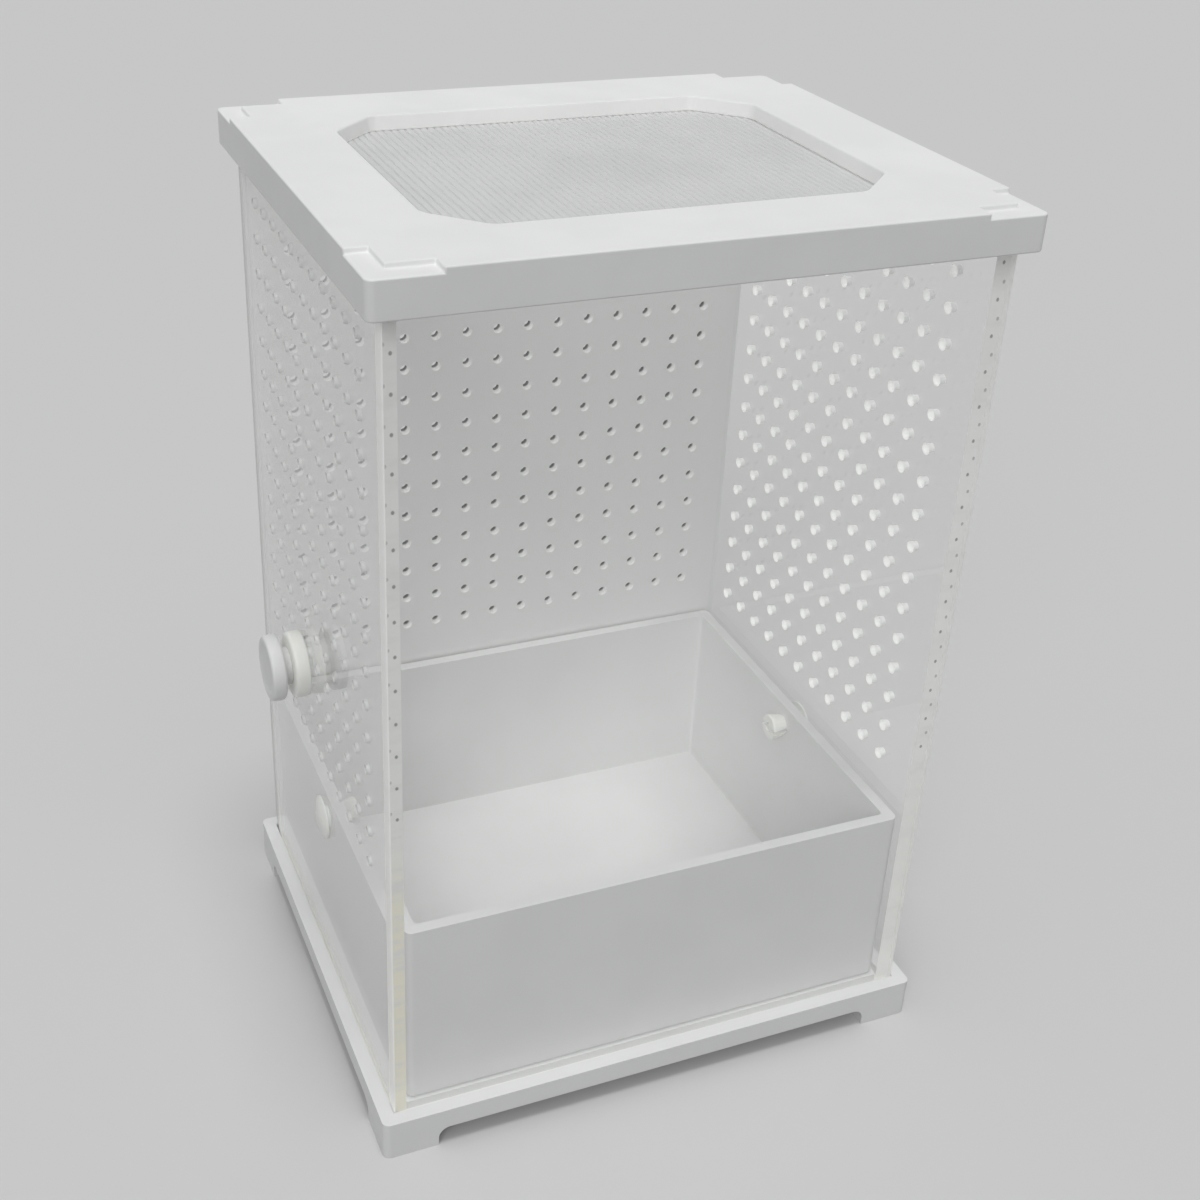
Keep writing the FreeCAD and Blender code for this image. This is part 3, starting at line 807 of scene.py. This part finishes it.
class DrillTree(PatternTree):
    """Drills a grid of air holes with broken edges through a sheet, and up to two single holes."""

    OVERSHOOT = 0.4 * MM
    HOLE_SIDES = 20
    SINGLE_SIDES = 64
    SINGLES = ("Port", "Rivet")

    def __init__(self) -> None:
        """Builds the tree."""
        super().__init__(
            "Drilled sheet",
            {
                "Sheet": "Geometry",
                "Columns": "Int",
                "Rows": "Int",
                "Pitch": "Float",
                "Hole Diameter": "Float",
                "Broken Edge": "Float",
                "Taper": "Float",
                "Sheet Thickness": "Float",
                "Grid Centre": "Vector",
                "Grid Turn": "Vector",
                "Finish": "Material",
            }
            | {f"With {single}": "Bool" for single in self.SINGLES}
            | {f"{single} Diameter": "Float" for single in self.SINGLES}
            | {f"{single} Centre": "Vector" for single in self.SINGLES},
        )
        columns, rows, pitch = self.given("Columns"), self.given("Rows"), self.given("Pitch")
        grid = self.node(
            "GeometryNodeMeshGrid",
            inputs={
                "Size X": (columns - 1.0) * pitch,
                "Size Y": (rows - 1.0) * pitch,
                "Vertices X": columns,
                "Vertices Y": rows,
            },
        )
        drill = self.drill(self.given("Hole Diameter"), self.HOLE_SIDES)
        drills = self.node("GeometryNodeInstanceOnPoints", inputs={"Points": grid, "Instance": drill})
        drills = self.node("GeometryNodeRealizeInstances", inputs={0: drills})
        cutters = self.tree.nodes.new("GeometryNodeJoinGeometry")
        self.tree.links.new(self.placed(drills, "Grid Centre").socket, cutters.inputs[0])
        nothing = self.node("GeometryNodeJoinGeometry")
        for single in self.SINGLES:
            cutter = self.drill(self.given(f"{single} Diameter"), self.SINGLE_SIDES)
            cutter = self.node(
                "GeometryNodeSwitch",
                {"input_type": "GEOMETRY"},
                {"Switch": self.given(f"With {single}"), "False": nothing, "True": cutter},
            )
            self.tree.links.new(self.placed(cutter, f"{single} Centre").socket, cutters.inputs[0])
        self.end(self.boolean("DIFFERENCE", self.given("Sheet"), Wire(self, cutters.outputs[0])))

    def placed(self, geometry: Wire, centre: str) -> Wire:
        """Turns cutters to face through the sheet and puts them in place.

        Args:
            geometry: The cutters, which point along Z at the origin.
            centre: The name of the input that holds their centre.

        Returns:
            The cutters in place.
        """
        turn = self.node("FunctionNodeEulerToRotation", inputs={0: self.given("Grid Turn")})
        return self.node(
            "GeometryNodeTransform",
            inputs={"Geometry": geometry, "Translation": self.given(centre), "Rotation": turn},
        )

    def drill(self, diameter: Wire, sides: int) -> Wire:
        """A cutter along Z that widens at both faces of the sheet.

        Args:
            diameter: The hole's diameter.
            sides: The number of faces round it.

        Returns:
            The cutter.
        """
        rod = self.node(
            "GeometryNodeMeshCylinder",
            inputs={"Vertices": sides, "Side Segments": 3, "Radius": 1.0, "Depth": 3.0},
        )
        at = self.node("ShaderNodeSeparateXYZ", inputs={0: self.node("GeometryNodeInputPosition")})
        height = at.output("Z")
        at_end = height.maths("ABSOLUTE") > 1.0
        edge = self.given("Broken Edge")
        reach = self.given("Sheet Thickness") / 2.0 - edge + at_end * (edge + self.OVERSHOOT)
        spread = self.given("Taper") * height.maths("SIGN")
        radius = diameter / 2.0 + spread + at_end * (edge + self.OVERSHOOT)
        moved = self.node(
            "ShaderNodeCombineXYZ",
            inputs={
                "X": at.output("X") * radius,
                "Y": at.output("Y") * radius,
                "Z": height.maths("SIGN") * reach,
            },
        )
        return self.node("GeometryNodeSetPosition", inputs={"Geometry": rod, "Position": moved})


class RibTree(PatternTree):
    """Lays a row of round-topped ribs, all alike, along a flat plate."""

    RIB_SIDES = 16

    def __init__(self) -> None:
        """Builds the tree."""
        super().__init__(
            "Ribbed plate",
            {
                "Plate": "Geometry",
                "Ribs": "Int",
                "Pitch": "Float",
                "Rib Width": "Float",
                "Rib Height": "Float",
                "Rib Length": "Float",
                "Row Centre": "Vector",
                "Finish": "Material",
            },
        )
        count, pitch = self.given("Ribs"), self.given("Pitch")
        rod = self.node(
            "GeometryNodeMeshCylinder",
            inputs={"Vertices": self.RIB_SIDES, "Radius": 0.5, "Depth": 1.0},
        )
        size = self.node(
            "ShaderNodeCombineXYZ",
            inputs={"X": self.given("Rib Width"), "Y": 2.0 * self.given("Rib Height"), "Z": self.given("Rib Length")},
        )
        rod = self.node("GeometryNodeTransform", inputs={"Geometry": rod, "Scale": size})
        rod = self.node("GeometryNodeTransform", inputs={"Geometry": rod, "Rotation": (math.pi / 2, 0, 0)})
        start = self.node("ShaderNodeCombineXYZ", inputs={"X": (count - 1.0) * pitch * -0.5})
        step = self.node("ShaderNodeCombineXYZ", inputs={"X": pitch})
        row = self.node(
            "GeometryNodeMeshLine",
            {"mode": "OFFSET", "count_mode": "TOTAL"},
            {"Count": count, "Start Location": start + self.given("Row Centre"), "Offset": step},
        )
        ribs = self.node("GeometryNodeInstanceOnPoints", inputs={"Points": row, "Instance": rod})
        ribs = self.node("GeometryNodeRealizeInstances", inputs={0: ribs})
        self.end(self.boolean("UNION", self.given("Plate"), ribs))


class SlotTree(PatternTree):
    """Cuts slots, evenly spaced round the X axis, that part a rivet's shank into prongs."""

    def __init__(self) -> None:
        """Builds the tree."""
        super().__init__(
            "Slotted shank",
            {
                "Shank": "Geometry",
                "Slots": "Int",
                "Slot Width": "Float",
                "Slot Start": "Float",
                "Slot Length": "Float",
                "Reach": "Float",
                "Finish": "Material",
            },
        )
        length, reach = self.given("Slot Length"), self.given("Reach")
        size = self.node("ShaderNodeCombineXYZ", inputs={"X": length, "Y": reach, "Z": self.given("Slot Width")})
        blade = self.node("GeometryNodeMeshCube", inputs={"Size": size})
        place = self.node(
            "ShaderNodeCombineXYZ", inputs={"X": self.given("Slot Start") + length / 2.0, "Y": reach / 2.0}
        )
        blade = self.node("GeometryNodeTransform", inputs={"Geometry": blade, "Translation": place})
        points = self.node("GeometryNodeMeshLine", inputs={"Count": self.given("Slots"), "Offset": (0, 0, 0)})
        turn = self.node("GeometryNodeInputIndex") * (2 * math.pi) / self.given("Slots")
        euler = self.node("ShaderNodeCombineXYZ", inputs={"X": turn})
        turned = self.node("FunctionNodeEulerToRotation", inputs={0: euler})
        blades = self.node(
            "GeometryNodeInstanceOnPoints",
            inputs={"Points": points, "Instance": blade, "Rotation": turned},
        )
        blades = self.node("GeometryNodeRealizeInstances", inputs={0: blades})
        self.end(self.boolean("DIFFERENCE", self.given("Shank"), blades))


@dataclass
class FootedBase:
    """The white frame that the sheets stand in, with its four L-shaped feet."""

    edge_rounding: float = 0.4

    def build(self) -> None:
        """Makes the base."""
        base = copy_node("base_frame", "footed_base")
        soften_edges(base, self.edge_rounding)
        dress(base, "base", "white_plastic", WHITE, "base_frame")


@dataclass
class SheetBox:
    """Four bonded sheets: clear at the front and the ends, white at the rear."""

    CUTS: ClassVar[dict[Side, tuple[Finish, Finish]]] = {
        Side.LEFT: (LEFT_EDGE, LEFT_HOLE),
        Side.RIGHT: (RIGHT_EDGE, RIGHT_HOLE),
    }

    left: float = BOX_MIDDLE - 56.5
    right: float = BOX_MIDDLE + 56.5
    front: float = -48.0
    rear: float = 48.0
    bottom: float = 7.02
    top: float = 177.98
    thickness: float = 3.0
    bond: float = 0.02
    chamfer: float = 0.25
    hole_diameter: float = 2.0
    hole_pitch: float = 7.0
    broken_edge: float = 0.08
    taper: float = 0.12
    rows: int = 16
    side_columns: int = 11
    side_first: Pair = (-33.5, 60.2)
    rear_columns: int = 14
    rear_first: Pair = (BOX_MIDDLE - 45.5, 61.4)
    port_diameter: float = 6.1
    port_centre: Pair = (11.7, 77.0)
    rivet_diameter: float = 4.5
    rivet_centre: Pair = (0.0, 46.1)
    face_share: float = 0.9
    edge_margin: float = 0.5
    drills: DrillTree | None = None

    def build(self) -> None:
        """Makes the four sheets."""
        self.drills = DrillTree()
        inner_front = self.front + self.thickness
        inner_rear = self.rear - self.thickness
        self.front_sheet(inner_front)
        for side in Side:
            self.end_sheet(side, inner_front - self.bond, inner_rear + self.bond)
        self.rear_sheet(inner_rear)

    def front_sheet(self, inner: float) -> None:
        """Makes the plain front sheet, whose inner face is at that Y."""
        shape = slab((self.left, self.front, self.bottom), (self.right, inner, self.top), self.front, self.chamfer)
        sheet = add_object("front_sheet", shape)
        dress(sheet, "box", "clear_sheet", CLEAR_SHEET, "front_panel")
        self.finish_cuts(sheet, 1, *self.CUTS[Side.RIGHT])

    def end_sheet(self, side: Side, start: float, end: float) -> None:
        """Makes a drilled end sheet.

        Args:
            side: Which end it closes.
            start: The Y where it begins.
            end: The Y where it ends.
        """
        outer = self.left if side is Side.LEFT else self.right - self.thickness
        shape = slab((outer, start, self.bottom), (outer + self.thickness, end, self.top))
        sheet = add_object(f"{side.name.lower()}_sheet", shape)
        middle = outer + self.thickness / 2
        columns = self.middle_of(self.side_first[0], self.side_columns)
        rows = self.middle_of(self.side_first[1], self.rows)
        turn = (math.pi / 2, 0.0, math.pi / 2)
        values = self.grid(self.side_columns, (middle, columns, rows), turn, CLEAR_SHEET)
        values["With Port"] = side is Side.LEFT
        values["Port Centre"] = [value * MM for value in (middle, *self.port_centre)]
        values["Taper"] = side.value * -self.taper * MM
        values["With Rivet"] = True
        values["Rivet Centre"] = [value * MM for value in (middle, *self.rivet_centre)]
        self.drills.apply(sheet, values)
        smooth(sheet, 30.0)
        dress(sheet, "box", "clear_sheet", CLEAR_SHEET, f"{side.name.lower()}_panel")
        self.finish_cuts(sheet, 0, *self.CUTS[side])

    def rear_sheet(self, inner: float) -> None:
        """Makes the drilled white sheet, whose inner face is at that Y."""
        shape = slab((self.left, inner, self.bottom), (self.right, self.rear, self.top), self.rear, self.chamfer)
        sheet = add_object("rear_sheet", shape)
        columns = self.middle_of(self.rear_first[0], self.rear_columns)
        rows = self.middle_of(self.rear_first[1], self.rows)
        centre = (columns, inner + self.thickness / 2, rows)
        values = self.grid(self.rear_columns, centre, (math.pi / 2, 0.0, 0.0), WHITE_SHEET)
        values["Taper"] = 0.0
        self.drills.apply(sheet, values)
        smooth(sheet, 30.0)
        dress(sheet, "box", "white_sheet", WHITE_SHEET, "rear_panel")
        self.finish_cuts(sheet, 1, WHITE_SHEET, REAR_HOLE)

    def finish_cuts(self, sheet: bpy.types.Object, axis: int, edge: Finish, hole: Finish) -> None:
        """Gives a sheet's sawn edges and drilled holes their own finishes.

        Args:
            sheet: The sheet.
            axis: The axis, from 0 to 2, that its thickness lies along.
            edge: The finish of its edges.
            hole: The finish of its holes' walls.
        """
        for finish in (edge, hole):
            sheet.data.materials.append(finish.material())
        outline = [(min(v.co[i] for v in sheet.data.vertices), max(v.co[i] for v in sheet.data.vertices)) for i in range(3)]
        for face in sheet.data.polygons:
            if abs(face.normal[axis]) > self.face_share:
                continue
            reach = min(abs(face.center[i] - end) for i in range(3) if i != axis for end in outline[i])
            face.material_index = 1 if reach < self.edge_margin * MM else 2

    def middle_of(self, first: float, count: int) -> float:
        """The middle of a row of holes, from the first hole's place and their number."""
        return first + (count - 1) * self.hole_pitch / 2

    def grid(self, columns: int, centre: Triple, turn: Triple, finish: Finish) -> dict[str, object]:
        """The drilling tree's inputs for one sheet.

        Args:
            columns: The number of holes across.
            centre: The grid's centre in millimetres.
            turn: The angles that turn the grid to face through the sheet.
            finish: The sheet's finish.

        Returns:
            The inputs' values, by name.
        """
        return {
            "Columns": columns,
            "Rows": self.rows,
            "Pitch": self.hole_pitch * MM,
            "Hole Diameter": self.hole_diameter * MM,
            "Broken Edge": self.broken_edge * MM,
            "Taper": self.taper * MM,
            "Sheet Thickness": self.thickness * MM,
            "Grid Centre": [value * MM for value in centre],
            "Grid Turn": list(turn),
            "With Port": False,
            "Port Diameter": self.port_diameter * MM,
            "With Rivet": False,
            "Rivet Diameter": self.rivet_diameter * MM,
            "Finish": finish.material(),
        }


@dataclass
class WindowedLid:
    """The lift-off lid, and the ribbed vent sheet under its window."""

    edge_rounding: float = 0.35
    vent_low: Triple = (BOX_MIDDLE - 47.0, -38.5, 176.75)
    vent_high: Triple = (BOX_MIDDLE + 47.0, 38.5, 177.65)
    rib_count: int = 63
    rib_pitch: float = 1.45
    rib_width: float = 1.39
    rib_height: float = 0.34
    rib_margin: float = 1.5

    def build(self) -> None:
        """Makes the lid and the vent sheet."""
        lid = copy_node("lid_frame", "windowed_lid")
        soften_edges(lid, self.edge_rounding)
        dress(lid, "lid", "white_plastic", WHITE, "lid_frame")
        self.vent()

    def vent(self) -> None:
        """Makes the vent sheet."""
        vent = add_object("ribbed_vent", slab(self.vent_low, self.vent_high))
        middle = [(low + high) / 2 for low, high in zip(self.vent_low, self.vent_high)]
        length = self.vent_high[1] - self.vent_low[1] - 2 * self.rib_margin
        RibTree().apply(
            vent,
            {
                "Ribs": self.rib_count,
                "Pitch": self.rib_pitch * MM,
                "Rib Width": self.rib_width * MM,
                "Rib Height": self.rib_height * MM,
                "Rib Length": length * MM,
                "Row Centre": [middle[0] * MM, middle[1] * MM, self.vent_high[2] * MM],
                "Finish": VENT_GREY.material(),
            },
        )
        smooth(vent, 35.0)
        dress(vent, "lid", "grey_plastic", VENT_GREY, "vent_sheet")
        # The underside gets the glowing finish: painted light that shines down into the box.
        vent.data.materials.append(GLOWING_VENT_UNDERSIDE.material())
        for face in vent.data.polygons:
            face.material_index = 1 if abs(face.center.z - self.vent_low[2] * MM) < MERGE_DISTANCE else 0


@dataclass
class SubstrateTray:
    """The tray, and the push rivets and pins that hold it to the end sheets."""

    edge_rounding: float = 0.45
    rivet_reach: float = 56.5
    rivet_height: float = 46.1
    prong_start: float = 5.9
    prong_length: float = 3.5
    slot_width: float = 0.8
    slots: int = 2
    cap_radius: float = 4.6
    cap_height: float = 1.1
    cap_edge: float = -0.35
    pin_head: float = 1.9
    rivet_outline: tuple[Triple, ...] = (
        (-0.9, 1.15, 0.05),
        (9.4, 1.15, 0.1),
        (9.4, 2.8, 0.15),
        (8.9, 3.0, 0.2),
        (5.9, 2.3, 0.4),
        (0.0, 2.2, 0.05),
        (0.0, 4.6, 0.15),
    )
    pin_outline: tuple[Triple, ...] = (
        (9.35, 0.0, 0.0),
        (9.35, 0.65, 0.2),
        (8.95, 1.08, 0.2),
        (-0.88, 1.08, 0.05),
        (-0.88, 1.9, 0.08),
    )

    def cap(self, start: float, end: float, steps: int = 9) -> list[Triple]:
        """Points on the domed top of a rivet's head.

        Args:
            start: The first point's radius.
            end: The last point's radius.
            steps: The number of straight pieces between them.

        Returns:
            The points as corners without rounding.
        """
        ball = (self.cap_radius**2 + self.cap_height**2) / (2 * self.cap_height)
        foot = self.cap_edge + math.sqrt(ball**2 - self.cap_radius**2)
        radii = [start + (end - start) * step / steps for step in range(steps + 1)]
        return [(foot - math.sqrt(ball**2 - radius**2), radius, 0.0) for radius in radii]

    def build(self) -> None:
        """Makes the tray and its rivets."""
        tray = copy_node("substrate_tray", "riveted_tray")
        soften_edges(tray, self.edge_rounding)
        dress(tray, "box", "white_plastic", WHITE, "substrate_tray")
        slots = SlotTree()
        for side in Side:
            self.rivet(side, slots)
            self.pin(side)

    def placed(self, piece: bpy.types.Object, side: Side) -> None:
        """Turns a piece drawn inwards along X, and puts it through an end sheet."""
        turn = 0.0 if side is Side.LEFT else math.pi
        face = BOX_MIDDLE + side.value * self.rivet_reach
        move = Matrix.Translation(Vector((face, 0.0, self.rivet_height)) * MM)
        piece.data.transform(move @ Matrix.Rotation(turn, 4, "Z"))

    def rivet(self, side: Side, slots: SlotTree) -> None:
        """Makes one rivet.

        Args:
            side: The end sheet it goes through.
            slots: The tree that parts its shank into prongs.
        """
        name = side.name.lower()
        head = [*self.cap(self.cap_radius, self.pin_head + 0.06), (-0.9, self.pin_head + 0.05, 0.05)]
        rivet = add_object(f"push_rivet_{name}", lathe(round_corners([*self.rivet_outline, *head])))
        slots.apply(
            rivet,
            {
                "Slots": self.slots,
                "Slot Width": self.slot_width * MM,
                "Slot Start": self.prong_start * MM,
                "Slot Length": (self.prong_length + 1.0) * MM,
                "Reach": 4.0 * MM,
                "Finish": NATURAL.material(),
            },
        )
        self.placed(rivet, side)
        smooth(rivet, 40.0)
        dress(rivet, "box", "natural_plastic", NATURAL, f"rivet_{name}")

    def pin(self, side: Side) -> None:
        """Makes the pin in one rivet."""
        name = side.name.lower()
        outline = round_corners([*self.pin_outline, *self.cap(self.pin_head, 0.0)])
        pin = add_object(f"spread_pin_{name}", lathe(outline, 48))
        self.placed(pin, side)
        smooth(pin, 50.0)
        dress(pin, "box", "natural_plastic", NATURAL, f"rivet_pin_{name}")


@dataclass
class PluggedPort:
    """The round port in the left sheet: a pressed-in collar and the plug that closes it."""

    centre: Triple = (BOX_MIDDLE - 56.5, 11.7, 77.0)
    collar_outline: tuple[Triple, ...] = (
        (-3.1, 2.2, 0.3),
        (3.6, 2.2, 0.25),
        (3.6, 3.0, 0.25),
        (0.0, 3.0, 0.0),
        (0.0, 6.8, 0.45),
        (-3.1, 6.8, 0.8),
    )
    plug_outline: tuple[Triple, ...] = (
        (-7.6, 0.0, 0.0),
        (4.0, 0.0, 0.0),
        (4.0, 1.6, 0.25),
        (3.5, 2.1, 0.3),
        (-3.12, 2.1, 0.1),
        (-3.12, 3.85, 0.15),
        (-4.8, 3.85, 0.3),
        (-4.8, 6.8, 0.7),
        (-7.8, 6.8, 0.75),
        (-7.8, 5.4, 0.5),
        (-7.6, 4.4, 1.5),
    )

    def build(self) -> None:
        """Makes the collar and the plug."""
        collar = add_object("port_ring", lathe(round_corners(self.collar_outline), 96))
        self.finish(collar, 45.0)
        dress(collar, "box", "natural_plastic", NATURAL, "port_collar")
        plug = add_object("port_stopper", lathe(round_corners(self.plug_outline), 96))
        self.finish(plug, 45.0)
        dress(plug, "plug", "white_plastic", WHITE, "port_plug")

    def finish(self, piece: bpy.types.Object, sharp_angle: float) -> None:
        """Puts a piece in the port and shades it, sharp only past an angle in degrees."""
        piece.data.transform(Matrix.Translation(Vector(self.centre) * MM))
        smooth(piece, sharp_angle)


@dataclass(frozen=True)
class PaleFloor(Finish):
    """A plain pale tabletop that sends little light back up at the object."""

    colour: Triple = (0.70, 0.70, 0.695)
    bounced: Triple = (0.33, 0.33, 0.33)

    def surface(self, graph: Graph) -> Wire:
        """Adds the floor's nodes and returns the shader."""
        path = graph.node("ShaderNodeLightPath")
        seen = path.output("Is Camera Ray").maths("MAXIMUM", path.output("Is Glossy Ray"))
        seen = seen.maths("MAXIMUM", path.output("Is Transmission Ray"))
        colour = graph.blend(seen, self.bounced, self.colour)
        return graph.node("ShaderNodeBsdfDiffuse", inputs={"Color": colour})


@dataclass
class Studio:
    """The pale floor, the soft light and the camera."""

    camera_place: Triple = (BOX_MIDDLE - 122.058, -272.289, 261.740)
    camera_yaw: float = 0.405391
    camera_pitch: float = -0.512637
    camera_roll: float = 0.041931
    lens: float = 50.0975
    shift: Pair = (0.03216, -0.02229)
    floor_size: float = 16.0
    floor_drop: float = 0.05
    sky_strength: float = 0.25
    lamps: tuple[tuple[str, float, float, float, float], ...] = (
        ("overhead_light", 0.0, 84.0, 0.8, 16.0),
        ("ceiling_light", 60.0, 80.0, 0.55, 85.0),
        ("window_light", 34.0, 32.0, 0.84, 34.0),
    )
    floor_finish: PaleFloor = field(default_factory=lambda: PaleFloor("pale_floor"))

    def build(self) -> None:
        """Makes the floor, the light and the camera."""
        self.floor()
        self.sky()
        for name, azimuth, elevation, strength, softness in self.lamps:
            self.lamp(name, azimuth, elevation, strength, softness)
        self.camera()

    def floor(self) -> None:
        """Makes the floor, just under the feet."""
        shape = bmesh.new()
        bmesh.ops.create_grid(shape, x_segments=1, y_segments=1, size=self.floor_size / 2)
        bmesh.ops.translate(shape, verts=shape.verts, vec=(0, 0, -self.floor_drop * MM))
        floor = add_object("floor", shape)
        floor.data.materials.append(self.floor_finish.material())

    def sky(self) -> None:
        """Makes an even sky that is white wherever it is seen."""
        world = bpy.data.worlds.new("studio")
        bpy.context.scene.world = world
        world.use_nodes = True
        world.node_tree.nodes.clear()
        graph = Graph(world.node_tree)
        lighting = graph.node(
            "ShaderNodeBackground", inputs={"Color": (0.97, 0.985, 1.0), "Strength": self.sky_strength}
        )
        seen = graph.node("ShaderNodeBackground", inputs={"Color": (1.0, 1.0, 1.0), "Strength": 1.0})
        path = graph.node("ShaderNodeLightPath")
        share = path.output("Is Camera Ray").maths("MAXIMUM", path.output("Is Glossy Ray"))
        share = share.maths("MAXIMUM", path.output("Is Transmission Ray"))
        mixed = graph.node("ShaderNodeMixShader", inputs={0: share, 1: lighting, 2: seen})
        graph.node("ShaderNodeOutputWorld", inputs={"Surface": mixed})

    def lamp(self, name: str, azimuth: float, elevation: float, strength: float, softness: float) -> None:
        """Adds a broad, distant lamp.

        Args:
            name: The lamp's name.
            azimuth: Where it shines from, in degrees from the front towards the left.
            elevation: Its height above the horizon in degrees.
            strength: Its strength.
            softness: Its apparent width in degrees.
        """
        data = bpy.data.lights.new(name, "SUN")
        data.energy = strength
        data.angle = math.radians(softness)
        lamp = bpy.data.objects.new(name, data)
        bpy.context.scene.collection.objects.link(lamp)
        turn, rise = math.radians(azimuth), math.radians(elevation)
        towards = Vector((-math.sin(turn) * math.cos(rise), -math.cos(turn) * math.cos(rise), math.sin(rise)))
        lamp.rotation_euler = towards.to_track_quat("Z", "Y").to_euler()

    def camera(self) -> None:
        """Adds the camera at the photograph's viewing angle."""
        data = bpy.data.cameras.new("camera")
        data.sensor_width = 36.0
        data.lens = self.lens
        data.shift_x, data.shift_y = self.shift
        data.clip_start, data.clip_end = 0.01, 50.0
        camera = bpy.data.objects.new("camera", data)
        bpy.context.scene.collection.objects.link(camera)
        yaw, pitch, roll = self.camera_yaw, self.camera_pitch, self.camera_roll
        forward = Vector((math.sin(yaw) * math.cos(pitch), math.cos(yaw) * math.cos(pitch), math.sin(pitch)))
        level = Vector((math.cos(yaw), -math.sin(yaw), 0.0))
        upright = level.cross(forward)
        right = math.cos(roll) * level + math.sin(roll) * upright
        up = math.cos(roll) * upright - math.sin(roll) * level
        turn = Matrix((right, up, -forward)).transposed().to_4x4()
        camera.matrix_world = Matrix.Translation(Vector(self.camera_place) * MM) @ turn
        bpy.context.scene.camera = camera
        bpy.context.scene.view_settings.view_transform = "Standard"


def main() -> None:
    """Builds the enclosure and its studio."""
    logging.basicConfig(level=logging.INFO, format="%(name)s: %(message)s")
    Studio().build()
    for assembly in (FootedBase(), SheetBox(), WindowedLid(), SubstrateTray(), PluggedPort()):
        assembly.build()
    bpy.context.view_layer.update()


if __name__ == "__main__":
    main()
